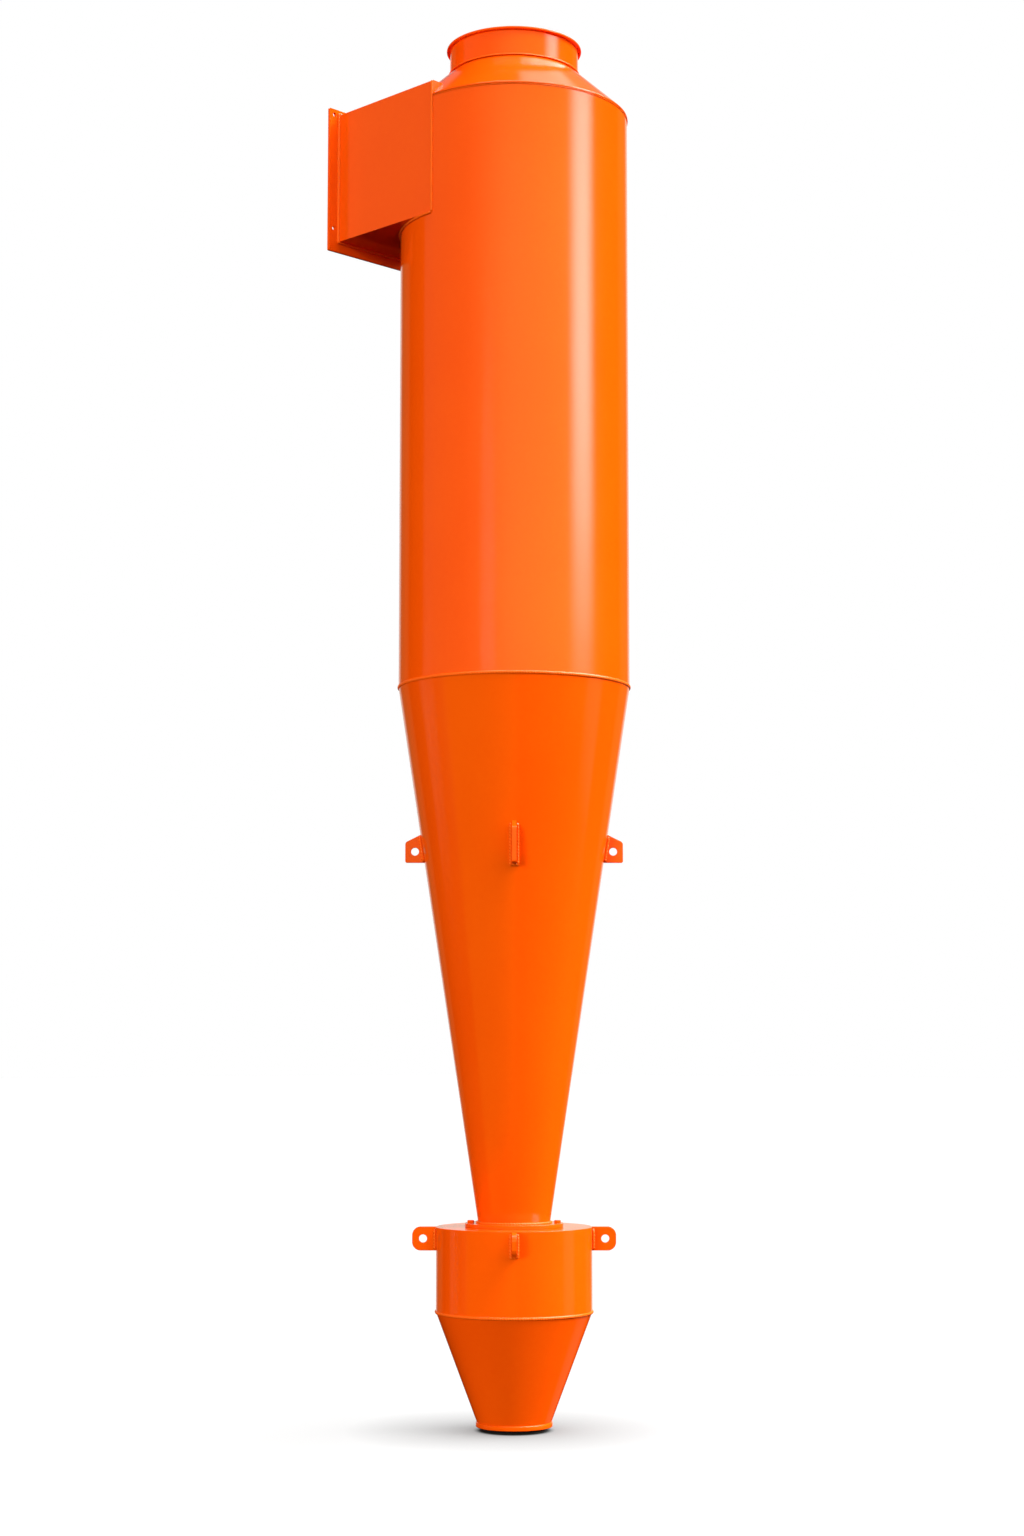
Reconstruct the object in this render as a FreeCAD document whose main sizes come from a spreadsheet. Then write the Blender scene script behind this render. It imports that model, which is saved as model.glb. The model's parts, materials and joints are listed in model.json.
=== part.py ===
"""Cyclone separator of welded and painted sheet steel, as a parametric document.

Frame: millimetres, +Z up, origin at the centre of the discharge ring's bottom face.
The inlet duct runs along -X from the tangent line at (0, -barrel_r).
Each node is one object of the document, labelled with the name of its STEP file.
"""
import math
import os

import FreeCAD
import Part
from Sketcher import Constraint

os.makedirs("parts", exist_ok=True)
doc = FreeCAD.newDocument("cyclone")

SIZES = {
    # vessel
    "barrel_dia": 500,
    "barrel_bottom": 1566,
    "barrel_height": 1265,
    "barrel_sheet": 3,
    # roof cone
    "roof_sheet": 3,
    "roof_rise": 98,
    "roof_lip": 2,
    # outlet pipe, the rim on it and the vortex finder below the roof
    "pipe_dia": 284,
    "pipe_sheet": 2,
    "spigot_height": 63,
    "finder_below_duct": 61,
    "rim_width": 7.5,
    "rim_thick": 5.5,
    "rim_round": 1.2,
    # inlet duct, from the tangent line to the face of its flange
    "duct_length": 308,
    "duct_width": 200,
    "duct_height": 291,
    "duct_over_barrel": 32,
    "duct_sheet": 3,
    # inlet flange
    "flange_thick": 6,
    "lip_side": 28,
    "lip_top": 11,
    "lip_bottom": 24,
    "flange_hole_dia": 9,
    "flange_hole_down": 13,
    "flange_hole_up": 53,
    # separation cone
    "cone_foot_dia": 153,
    "cone_sheet": 3,
    # bolted flange under the cone
    "foot_flange_thick": 8,
    "foot_flange_edge": 12.5,
    "bolt_from_foot": 15.5,
    "bolt_dia": 8,
    "bolt_head_flats": 13,
    "bolt_head_height": 5.5,
    "bolt_length": 25,
    "bolt_play": 1,
    # dust hopper
    "hopper_dia": 331,
    "hopper_sheet": 3,
    "hopper_lid": 5,
    "hopper_top": 415,
    "hopper_bottom": 238,
    "outfall_dia": 158,
    "ring_height": 11,
    "ring_over_outfall": 2,
    "ring_wall": 6,
    "ring_round": 1.5,
    # weld beads
    "bead": 3,
    "weld": 5,
    "lug_weld": 6,
    # mounting lugs
    "lug_thick": 10,
    "lug_hole_dia": 17,
    "cone_lug_out": 38,
    "cone_lug_hole_in": 21,
    "cone_lug_hole_z": 1211,
    "cone_lug_below": 24,
    "cone_lug_above": 20,
    "cone_lug_slope": 0.5,
    "cone_lug_round": 8,
    "long_lug_extra": 15,
    "hopper_lug_out": 50.5,
    "hopper_lug_hole_in": 23,
    "hopper_lug_height": 50,
    "hopper_lug_round": 18,
}

FITS = {
    "barrel_r": "barrel_dia / 2",
    "barrel_top": "barrel_bottom + barrel_height",
    "barrel_inner": "barrel_r - barrel_sheet",
    "pipe_r": "pipe_dia / 2",
    "roof_r": "barrel_r + roof_lip",
    "roof_tan": "roof_rise / (barrel_r - pipe_r)",
    "roof_drop": "roof_sheet * sqrt(1 + roof_tan ^ 2)",
    "lip_low": "barrel_top - roof_lip * roof_tan",
    "lip_high": "lip_low + roof_drop",
    "joint_z": "barrel_top + roof_drop + roof_rise",
    "pipe_top": "joint_z + spigot_height",
    "duct_top": "barrel_top + duct_over_barrel",
    "duct_bottom": "duct_top - duct_height",
    "duct_inner": "duct_width - barrel_r",
    "wall_low": "duct_bottom + duct_sheet",
    "wall_high": "duct_top - duct_sheet",
    "flange_top": "duct_top + lip_top",
    "flange_bottom": "duct_bottom - lip_bottom",
    "flange_hole_high": "flange_top - flange_hole_down",
    "flange_hole_low": "flange_bottom + flange_hole_up",
    "foot_r": "cone_foot_dia / 2",
    "foot_z": "hopper_top + foot_flange_thick",
    "cone_tan": "(barrel_r - foot_r) / (barrel_bottom - foot_z)",
    "cone_wall": "cone_sheet * sqrt(1 + cone_tan ^ 2)",
    "foot_bore": "foot_r - cone_wall",
    "bolt_circle_r": "foot_r + bolt_from_foot",
    "foot_flange_r": "bolt_circle_r + foot_flange_edge",
    "hopper_r": "hopper_dia / 2",
    "lid_low": "hopper_top - hopper_lid",
    "outfall_r": "outfall_dia / 2",
    "hopper_tan": "(hopper_r - outfall_r) / (hopper_bottom - ring_height)",
    "hopper_wall": "hopper_sheet * sqrt(1 + hopper_tan ^ 2)",
    "ring_r": "outfall_r + ring_over_outfall",
    "cone_lug_reach": "foot_r + (cone_lug_hole_z - foot_z) * cone_tan + cone_lug_out",
    "cone_lug_low": "cone_lug_hole_z - cone_lug_below",
    "cone_lug_high": "cone_lug_hole_z + cone_lug_above",
    "hopper_lug_reach": "hopper_r + hopper_lug_out",
    "beyond": "barrel_dia + duct_length",
}

sheet = doc.addObject("Spreadsheet::Sheet", "Sizes")
for row, (alias, value) in enumerate({**SIZES, **FITS}.items(), start=1):
    sheet.set(f"A{row}", alias)
    sheet.set(f"B{row}", str(value) if alias in SIZES else "=" + value)
    sheet.setAlias(f"B{row}", alias)
doc.recompute()

nodes = []


# ---------------------------------------------------------------- helpers


def linked(text):
    """Return an expression with each size read from the sheet."""
    out, word = "", ""
    for letter in text + " ":
        if letter.isalnum() or letter in "_.":
            word += letter
        else:
            out += (f"Sizes.{word}" if word in SIZES or word in FITS else word) + letter
            word = ""
    return out.strip()


def bind(item, prop, text):
    """Drive one property of a document object from the sheet."""
    item.setExpression(prop, linked(text))


def place(item, turn=0.0, x="0", y="0", z="0"):
    """Give an object its Placement: a turn about Z in degrees and a position."""
    turned = FreeCAD.Rotation(FreeCAD.Vector(0, 0, 1), turn)
    item.Placement = FreeCAD.Placement(FreeCAD.Vector(0, 0, 0), turned)
    for axis, text in (("x", x), ("y", y), ("z", z)):
        if text != "0":
            bind(item, f"Placement.Base.{axis}", text)


def new_body(name, turn=0.0):
    """Add an empty PartDesign body, turned about Z."""
    body = doc.addObject("PartDesign::Body", name)
    body.Label = name
    body.AllowCompound = True
    place(body, turn)
    return body


def new_sketch(body, role, offset):
    """Add a sketch on one of the body's origin planes, moved along its normal."""
    sketch = body.newObject("Sketcher::SketchObject", body.Name + "_sketch")
    plane = next(f for f in body.Origin.OriginFeatures if f.Role == role)
    sketch.AttachmentSupport = [(plane, "")]
    sketch.MapMode = "FlatFace"
    if offset != "0":
        bind(sketch, "AttachmentOffset.Base.z", offset)
    return sketch


def fix_point(sketch, line, end, at):
    """Hold one point of a sketch at (across, up), both expressions."""
    for kind, text in zip(("DistanceX", "DistanceY"), at):
        index = sketch.addConstraint(Constraint(kind, -1, 1, line, end, 1.0))
        bind(sketch, f"Constraints[{index}]", text)


def outline(body, points, role="XZ_Plane", offset="0"):
    """Draw a closed polygon whose corners are expressions (across, up)."""
    sketch = new_sketch(body, role, offset)
    count = len(points)
    start = [
        FreeCAD.Vector(math.cos(a), math.sin(a), 0)
        for a in (2 * math.pi * k / count for k in range(count))
    ]
    for k in range(count):
        sketch.addGeometry(Part.LineSegment(start[k], start[(k + 1) % count]), False)
    for k in range(count):
        sketch.addConstraint(Constraint("Coincident", k, 2, (k + 1) % count, 1))
    for k, point in enumerate(points):
        fix_point(sketch, k, 1, point)
    return sketch


def circles(body, centres, dia, role, offset="0"):
    """Draw one circle of a given diameter at each centre."""
    sketch = new_sketch(body, role, offset)
    up = FreeCAD.Vector(0, 0, 1)
    for k, centre in enumerate(centres):
        middle = FreeCAD.Vector(10 * k, 0, 0)
        sketch.addGeometry(Part.Circle(middle, up, 2), False)
        index = sketch.addConstraint(Constraint("Diameter", k, 4.0))
        bind(sketch, f"Constraints[{index}]", dia)
        fix_point(sketch, k, 3, centre)
    return sketch


def box_points(x0, x1, y0, y1):
    """Return the corners of a rectangle."""
    return [(x0, y0), (x1, y0), (x1, y1), (x0, y1)]


def turn_solid(body, points, cut=False):
    """Revolve a profile (radius, height) about the body's Z axis, as metal or as a cut."""
    kind = "PartDesign::Groove" if cut else "PartDesign::Revolution"
    sketch = outline(body, points)
    feature = body.newObject(kind, body.Name + "_turn")
    feature.Profile = sketch
    feature.ReferenceAxis = (sketch, ["V_Axis"])
    feature.Angle = 360
    return feature


def pad(body, points, length, role="XZ_Plane", offset="0", both=False):
    """Pad a polygon along its plane's normal, or to both sides of the plane."""
    feature = body.newObject("PartDesign::Pad", body.Name + "_pad")
    feature.Profile = outline(body, points, role, offset)
    bind(feature, "Length", length)
    if both:
        feature.SideType = "Symmetric"
    return feature


def pocket(body, sketch, both=False, back=True, length="4 * beyond"):
    """Cut a sketch away to both sides of it, or along its normal, or against that."""
    feature = body.newObject("PartDesign::Pocket", body.Name + "_pocket")
    feature.Profile = sketch
    bind(feature, "Length", length)
    if both:
        feature.SideType = "Symmetric"
    else:
        feature.Reversed = back
    return feature


def cut_away(body, points, offset):
    """Cut everything in front of the plane y = -offset inside a polygon (x, z)."""
    return pocket(body, outline(body, points, "XZ_Plane", offset))


def ring_edges(feature, radius, z):
    """Name the circular edges about Z with this radius at this height."""
    return [
        f"Edge{k}"
        for k, edge in enumerate(feature.Shape.Edges, start=1)
        if hasattr(edge.Curve, "Radius")
        and abs(edge.Curve.Radius - radius) < 0.01
        and abs(edge.Curve.Center.z - z) < 0.01
    ]


def corner_edges(feature, x, z):
    """Name the edges along the local Y axis at this corner of a plate."""
    return [
        f"Edge{k}"
        for k, edge in enumerate(feature.Shape.Edges, start=1)
        if all(math.hypot(p.X - x, p.Z - z) < 0.01 for p in edge.Vertexes)
    ]


def size(name):
    """Read a size from the sheet as a number."""
    return float(getattr(sheet, name))


def number(text):
    """Work out a sum of sizes, such as "a + b - c"."""
    total, sign = 0.0, 1
    for word in text.split():
        if word in "+-":
            sign = -1 if word == "-" else 1
        else:
            total += sign * size(word)
    return total


def round_edges(body, feature, names, radius):
    """Round the named edges of a feature."""
    fillet = body.newObject("PartDesign::Fillet", body.Name + "_round")
    fillet.Base = (feature, names)
    bind(fillet, "Radius", radius)
    return fillet


def finish(item):
    """Count an object as a node, to be exported under its label."""
    nodes.append(item)
    return item


# ------------------------------------------------------- outlines used again

ENVELOPE = [  # outside of the barrel and its roof: what a piece outside them is trimmed to
    ("0", "duct_bottom - beyond"),
    ("barrel_r", "duct_bottom - beyond"),
    ("barrel_r", "barrel_top - bead"),
    ("roof_r", "lip_low"),
    ("roof_r", "lip_high"),
    ("pipe_r", "joint_z"),
    ("0", "joint_z"),
]
CONE_OUTSIDE = [
    ("0", "foot_z"),
    ("foot_r", "foot_z"),
    ("barrel_r", "barrel_bottom"),
    ("0", "barrel_bottom"),
]
HOPPER_OUTSIDE = [
    ("0", "hopper_bottom"),
    ("hopper_r", "hopper_bottom"),
    ("hopper_r", "hopper_top + beyond"),
    ("0", "hopper_top + beyond"),
]
INLET_GAP = box_points("-beyond", "0", "wall_low", "wall_high")
LUGS = {"right": 45, "back": 135, "left": 225, "front": 315}


def bead_profile(radius, z, slope="0"):
    """Outline of a round weld bead on a wall, whose wall leans below the bead."""
    return [
        (f"{radius} - bead * ({slope})", f"{z} - bead"),
        (f"{radius} + 0.7 * bead", f"{z} - 0.7 * bead"),
        (f"{radius} + bead", z),
        (f"{radius} + 0.7 * bead", f"{z} + 0.7 * bead"),
        (radius, f"{z} + bead"),
        (radius, z),
    ]


# ------------------------------------------------------------------- outlet


def ring(name, points):
    """Make a node that is one turned ring."""
    body = new_body(name)
    turn_solid(body, points)
    return finish(body)


def make_outlet():
    """Outlet pipe with the vortex finder below the roof, its rim and its weld."""
    ring(
        "outlet_pipe",
        box_points("pipe_r - pipe_sheet", "pipe_r", "duct_bottom - finder_below_duct", "pipe_top"),
    )
    rim = new_body("outlet_rim")
    turned = turn_solid(
        rim, box_points("pipe_r", "pipe_r + rim_width", "pipe_top - rim_thick", "pipe_top")
    )
    doc.recompute()
    outer, top = size("pipe_r") + size("rim_width"), size("pipe_top")
    names = ring_edges(turned, outer, top) + ring_edges(turned, outer, top - size("rim_thick"))
    round_edges(rim, turned, names, "rim_round")
    finish(rim)
    ring(
        "outlet_weld",
        [
            ("pipe_r", "joint_z"),
            ("pipe_r + weld", "joint_z - weld * roof_tan"),
            ("pipe_r", "joint_z + weld"),
        ],
    )


# ------------------------------------------------------------ vessel and roof


def open_roof_edge(body):
    """Cut a roof piece away inside the duct and outside the duct's outer wall."""
    cut_away(body, INLET_GAP, "duct_sheet - duct_inner")
    cut_away(body, box_points("-beyond", "bead", "wall_low", "joint_z"), "barrel_r")


def make_vessel():
    """Barrel open to the inlet duct, roof cone, separation cone and their seams."""
    barrel = new_body("barrel")
    turn_solid(
        barrel,
        [
            ("barrel_inner", "barrel_bottom"),
            ("barrel_r", "barrel_bottom"),
            ("barrel_r", "barrel_top"),
            ("barrel_inner", "barrel_top + barrel_sheet * roof_tan"),
        ],
    )
    cut_away(barrel, INLET_GAP, "duct_sheet - duct_inner")
    finish(barrel)

    roof = new_body("roof_cone")
    turn_solid(
        roof,
        [
            ("pipe_r", "joint_z - roof_drop"),
            ("roof_r", "lip_low"),
            ("roof_r", "lip_high"),
            ("pipe_r", "joint_z"),
        ],
    )
    open_roof_edge(roof)
    finish(roof)

    seam = new_body("roof_seam")
    turn_solid(
        seam,
        [("barrel_r", "barrel_top - bead"), ("roof_r", "lip_low"), ("barrel_r", "barrel_top")],
    )
    open_roof_edge(seam)
    finish(seam)

    ring("barrel_seam", bead_profile("barrel_r", "barrel_bottom", "cone_tan"))
    ring(
        "cone",
        [
            ("foot_bore", "foot_z"),
            ("foot_r", "foot_z"),
            ("barrel_r", "barrel_bottom"),
            ("barrel_r - cone_wall", "barrel_bottom"),
        ],
    )


# --------------------------------------------------------------- inlet duct


def duct_plate(name, across, up, length="duct_length"):
    """Pad a rectangle (y, z) from the flange face along +X."""
    body = new_body(name)
    corners = box_points(*across, *up)
    pad(body, corners, length, "YZ_Plane", "-duct_length")
    return body


def make_duct():
    """Four walls of the duct and the small plate that closes it above the roof edge."""
    outer = ("-barrel_r", "duct_sheet - barrel_r")
    inner = ("duct_inner - duct_sheet", "duct_inner")
    full = ("-barrel_r", "duct_inner")
    finish(duct_plate("inlet_outer_wall", outer, ("wall_low", "wall_high")))
    trimmed = [
        duct_plate("inlet_inner_wall", inner, ("wall_low", "wall_high")),
        duct_plate("inlet_top", full, ("wall_high", "duct_top"), "duct_length + duct_sheet"),
        duct_plate("inlet_bottom", full, ("duct_bottom", "wall_low")),
    ]
    end_plate = new_body("inlet_end_plate")
    corners = box_points("-barrel_r", "-pipe_r", "lip_high - roof_drop", "wall_high")
    pad(end_plate, corners, "duct_sheet", "YZ_Plane")
    for body in trimmed + [end_plate]:
        turn_solid(body, ENVELOPE, cut=True)
        finish(body)


def flange_bar(name, across, up):
    """One flat bar of the inlet flange."""
    body = new_body(name)
    pad(body, box_points(*across, *up), "flange_thick", "YZ_Plane", "-duct_length")
    return body


def make_flange():
    """Inlet flange: four bars round the duct, with bolt holes in the upright ones."""
    tall = ("flange_bottom", "flange_top")
    sides = {
        "outer": (("-barrel_r - lip_side", "-barrel_r"), "-barrel_r - lip_side / 2"),
        "inner": (("duct_inner", "duct_inner + lip_side"), "duct_inner + lip_side / 2"),
    }
    for side, (across, middle) in sides.items():
        bar = flange_bar("inlet_flange_" + side, across, tall)
        centres = [(middle, "flange_hole_high"), (middle, "flange_hole_low")]
        pocket(bar, circles(bar, centres, "flange_hole_dia", "YZ_Plane"), both=True)
        finish(bar)
    full = ("-barrel_r", "duct_inner")
    finish(flange_bar("inlet_flange_top", full, ("duct_top", "flange_top")))
    finish(flange_bar("inlet_flange_bottom", full, ("flange_bottom", "duct_bottom")))


def make_duct_welds():
    """Welds of the duct: behind its flange, up the tangent line and under its floor."""
    frame = new_body("inlet_flange_weld")
    loft = frame.newObject("PartDesign::AdditiveLoft", "flange_weld_loft")
    rings = [
        outline(
            frame,
            box_points(
                f"-barrel_r - {leg}",
                f"duct_inner + {leg}",
                f"duct_bottom - {leg}",
                f"duct_top + {leg}",
            ),
            "YZ_Plane",
            f"flange_thick - duct_length + {ahead}",
        )
        for leg, ahead in (("weld", "0"), ("weld / 10", "weld"))
    ]
    loft.Profile, loft.Sections, loft.Ruled = rings[0], [rings[1]], True
    inside = box_points("-barrel_r", "duct_inner", "duct_bottom", "duct_top")
    pocket(frame, outline(frame, inside, "YZ_Plane"), both=True)
    finish(frame)

    upright = new_body("inlet_body_weld")
    half = [
        ("bead", "-barrel_r"),
        ("-bead", "-barrel_r"),
        ("-0.7 * bead", "-barrel_r - 0.7 * bead"),
        ("0", "-barrel_r - bead"),
        ("0.7 * bead", "-barrel_r - 0.7 * bead"),
    ]
    pad(upright, half, "duct_height", "XY_Plane", "duct_bottom")
    finish(upright)

    saddle = new_body("inlet_floor_weld")
    turn_solid(
        saddle,
        [
            ("barrel_r", "duct_bottom - weld"),
            ("barrel_r + weld", "duct_bottom"),
            ("barrel_r", "duct_bottom"),
        ],
    )
    up = ("duct_bottom - beyond", "duct_top")
    across = box_points("-beyond", "beyond", *up)
    pocket(saddle, outline(saddle, across, offset="-duct_inner"), back=False)
    pocket(saddle, outline(saddle, across, offset="barrel_r"))
    pocket(saddle, outline(saddle, box_points("0", "beyond", *up)), both=True)
    finish(saddle)


# ---------------------------------------------------------------- lugs


CONE_WALL_R = "foot_r + ({z} - foot_z) * cone_tan"
LUG_KINDS = {
    "cone": {
        "reach": "cone_lug_reach",
        "hole_in": "cone_lug_hole_in",
        "slope": "cone_lug_slope",
        "rounds": {"low": "cone_lug_round / 2", "high": "cone_lug_round"},
        "wall_r": CONE_WALL_R,
        "inner": "foot_r",
        "outside": CONE_OUTSIDE,
    },
    "hopper": {
        "reach": "hopper_lug_reach",
        "hole_in": "hopper_lug_hole_in",
        "slope": "0",
        "rounds": {"low": "hopper_lug_round", "high": "hopper_lug_round"},
        "wall_r": "hopper_r",
        "inner": "hopper_r / 2",
        "outside": HOPPER_OUTSIDE,
    },
}


def make_lug(kind, side, low, high, hole_z):
    """Plate lug in a plane through the axis, rounded outside and trimmed to its wall."""
    plan = LUG_KINDS[kind]
    reach, inner = plan["reach"], plan["inner"]
    body = new_body(f"{kind}_lug_{side}", LUGS[side])
    shape = [
        (inner, low),
        (reach, low),
        (reach, high),
        (inner, f"{high} + ({reach} - {inner}) * {plan['slope']}"),
    ]
    feature = pad(body, shape, "lug_thick", both=True)
    for end, z in (("low", low), ("high", high)):
        doc.recompute()
        names = corner_edges(feature, size(reach), number(z))
        feature = round_edges(body, feature, names, plan["rounds"][end])
    turn_solid(body, plan["outside"], cut=True)
    centre = [(f"{reach} - {plan['hole_in']}", hole_z)]
    pocket(body, circles(body, centre, "lug_hole_dia", "XZ_Plane"), both=True)
    return finish(body)


def make_lug_weld(kind, side, low, high):
    """Fillet welds on both sides of one lug, following the wall behind it."""
    plan = LUG_KINDS[kind]
    body = new_body(f"{kind}_lug_weld_{side}", LUGS[side])
    rings = []
    for z in (low, high):
        wall = plan["wall_r"].format(z=z)
        corners = [
            (f"{wall} - lug_weld", "-lug_thick / 2 - 2 * lug_weld"),
            (f"{wall} + lug_weld", "-lug_thick / 2"),
            (f"{wall} + lug_weld", "lug_thick / 2"),
            (f"{wall} - lug_weld", "lug_thick / 2 + 2 * lug_weld"),
        ]
        rings.append(outline(body, corners, "XY_Plane", z))
    loft = body.newObject("PartDesign::AdditiveLoft", body.Name + "_loft")
    loft.Profile, loft.Sections, loft.Ruled = rings[0], [rings[1]], True
    turn_solid(body, plan["outside"], cut=True)
    slot = outline(body, box_points("0", plan["reach"], f"{low} - lug_weld", f"{high} + lug_weld"))
    pocket(body, slot, both=True, length="lug_thick")
    return body


def gather(name, items):
    """Make one node of several solids that do not touch."""
    group = doc.addObject("Part::Compound", name)
    group.Label = name
    group.Links = items
    place(group)
    return finish(group)


def make_lugs():
    """Four lugs round the cone, two of them longer, and four round the hopper."""
    welds = []
    for side in LUGS:
        extra = " + long_lug_extra" if side in ("front", "back") else ""
        low = "cone_lug_low" + extra.replace("+", "-")
        high = "cone_lug_high" + extra
        make_lug("cone", side, low, high, "cone_lug_hole_z")
        wall = CONE_WALL_R.format(z=high)
        top = f"{high} + (cone_lug_reach - ({wall})) * cone_lug_slope * 0.8"
        welds.append(make_lug_weld("cone", side, low, top))
    gather("cone_lug_welds", welds)

    low = "hopper_top - hopper_lug_height"
    welds = []
    for side in LUGS:
        make_lug("hopper", side, low, "hopper_top", "hopper_top - hopper_lug_height / 2")
        welds.append(make_lug_weld("hopper", side, low, "hopper_top"))
    gather("hopper_lug_welds", welds)


# ------------------------------------------------- bolted joint and hopper


def hexagon(name, z, height):
    """Add a hexagonal prism of the bolt's size across flats."""
    prism = doc.addObject("Part::Prism", name)
    prism.Polygon = 6
    bind(prism, "Circumradius", "bolt_head_flats / sqrt(3)")
    bind(prism, "Height", height)
    place(prism, z=z)
    return prism


def shank(name, z, height):
    """Add a round bar of the bolt's diameter."""
    bar = doc.addObject("Part::Cylinder", name)
    bind(bar, "Radius", "bolt_dia / 2")
    bind(bar, "Height", height)
    place(bar, z=z)
    return bar


def joined(kind, name, base, tool, turn):
    """Fuse or cut two primitives and put the result on the bolt circle."""
    item = doc.addObject(kind, name)
    item.Base, item.Tool = base, tool
    angle = math.radians(turn)
    x, y = (f"bolt_circle_r * {round(f(angle), 9)}" for f in (math.cos, math.sin))
    place(item, x=x, y=y)
    return item


def make_bolts():
    """Two bolts and nuts that hold the cone's flange to the hopper lid."""
    bolts, nuts = [], []
    for side in ("left", "right"):
        head = hexagon("head_" + side, "foot_z", "bolt_head_height")
        bar = shank("shank_" + side, "foot_z - bolt_length", "bolt_length")
        bolts.append(joined("Part::Fuse", "bolt_" + side, head, bar, LUGS[side]))
        blank = hexagon("blank_" + side, "lid_low - bolt_head_height", "bolt_head_height")
        bore = shank("bore_" + side, "lid_low - bolt_length", "2 * bolt_length")
        nuts.append(joined("Part::Cut", "nut_" + side, blank, bore, LUGS[side]))
    gather("cone_flange_bolts", bolts)
    gather("cone_flange_nuts", nuts)


def bolted_ring(name, outer, low, high):
    """Make a flat ring with the two bolt holes through it."""
    body = new_body(name, LUGS["right"])
    turn_solid(body, box_points("foot_bore", outer, low, high))
    centres = [("bolt_circle_r", "0"), ("-bolt_circle_r", "0")]
    pocket(body, circles(body, centres, "bolt_dia + bolt_play", "XY_Plane"), both=True)
    return finish(body)


def make_hopper():
    """Cone flange, hopper lid, hopper shell, its cone and the discharge ring."""
    bolted_ring("cone_flange", "foot_flange_r", "hopper_top", "foot_z")
    ring(
        "cone_flange_weld",
        [
            ("foot_r", "foot_z"),
            ("foot_r + weld", "foot_z"),
            ("foot_r + weld * cone_tan", "foot_z + weld"),
        ],
    )
    bolted_ring("hopper_lid", "hopper_r", "lid_low", "hopper_top")
    ring(
        "hopper_shell",
        box_points("hopper_r - hopper_sheet", "hopper_r", "hopper_bottom", "lid_low"),
    )
    ring("hopper_seam", bead_profile("hopper_r", "hopper_bottom", "hopper_tan"))
    ring(
        "hopper_cone",
        [
            ("outfall_r - hopper_wall", "ring_height"),
            ("outfall_r", "ring_height"),
            ("hopper_r", "hopper_bottom"),
            ("hopper_r - hopper_wall", "hopper_bottom"),
        ],
    )
    body = new_body("discharge_ring")
    turned = turn_solid(body, box_points("ring_r - ring_wall", "ring_r", "0", "ring_height"))
    doc.recompute()
    outer = size("ring_r")
    names = ring_edges(turned, outer, 0) + ring_edges(turned, outer, size("ring_height"))
    round_edges(body, turned, names, "ring_round")
    finish(body)


# ------------------------------------------------------------------- build


def export():
    """Check every object, then write one STEP file per node."""
    doc.recompute()
    for item in doc.Objects:
        if "Invalid" in item.State or "Error" in item.State:
            raise RuntimeError(f"{item.Name} is {item.State}")
    for item in nodes:
        if item.Shape.isNull() or not item.Shape.isValid():
            raise RuntimeError(f"{item.Label} has no valid shape")
        item.Shape.exportStep(f"parts/{item.Label}.step")
        print(item.Label, len(item.Shape.Solids), round(item.Shape.Volume / 1000, 2), "cm3")


make_outlet()
make_vessel()
make_duct()
make_flange()
make_duct_welds()
make_lugs()
make_bolts()
make_hopper()
export()
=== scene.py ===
"""Finishes, refined pieces and studio of a welded and painted cyclone separator.

Units are metres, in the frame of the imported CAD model: +Z up along the vessel's axis, the
origin under the discharge ring, the inlet duct towards -X with its outer wall in y = -0.25.
Places and radii are read from the CAD nodes; a class holds only the sizes of its own detail.
"""
from __future__ import annotations

import json
import logging
import math
from collections.abc import Callable, Sequence
from dataclasses import dataclass, field
from enum import Enum

import bmesh
import bpy
from mathutils import Matrix, Vector

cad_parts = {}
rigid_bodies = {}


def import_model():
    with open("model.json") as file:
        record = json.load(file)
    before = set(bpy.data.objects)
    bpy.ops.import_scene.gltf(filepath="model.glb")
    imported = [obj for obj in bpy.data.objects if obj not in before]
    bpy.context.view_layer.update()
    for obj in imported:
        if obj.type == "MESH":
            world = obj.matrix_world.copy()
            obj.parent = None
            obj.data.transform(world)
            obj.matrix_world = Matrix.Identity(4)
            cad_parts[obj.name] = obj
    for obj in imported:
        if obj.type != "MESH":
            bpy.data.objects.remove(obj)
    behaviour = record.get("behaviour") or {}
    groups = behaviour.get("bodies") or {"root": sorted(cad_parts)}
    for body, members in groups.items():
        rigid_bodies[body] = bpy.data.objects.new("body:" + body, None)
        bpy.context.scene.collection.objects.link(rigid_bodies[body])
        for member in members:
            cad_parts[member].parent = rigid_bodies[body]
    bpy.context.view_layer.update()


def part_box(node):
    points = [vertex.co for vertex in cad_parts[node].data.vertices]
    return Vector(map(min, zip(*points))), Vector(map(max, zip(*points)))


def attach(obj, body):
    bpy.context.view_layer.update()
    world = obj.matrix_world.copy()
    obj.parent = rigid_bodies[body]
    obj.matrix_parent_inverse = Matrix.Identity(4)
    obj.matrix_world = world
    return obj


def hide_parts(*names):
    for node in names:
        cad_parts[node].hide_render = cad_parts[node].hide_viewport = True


LOG = logging.getLogger("cyclone")
BODY = "root"
ROUND_STEPS = 4
TURN_STEPS = 288
MERGE = 1e-6
WELD_LEG = 0.005  # how far a CAD weld stands off the wall it is laid on
BORE_INSET = 0.0075  # how far the through bore lies inside the discharge ring's rim


class Slot(Enum):
    """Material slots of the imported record."""

    SHELL = "shell_paint"
    FITTING = "fitting_paint"
    WELD = "weld_paint"


# ---------------------------------------------------------------- node wiring


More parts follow.
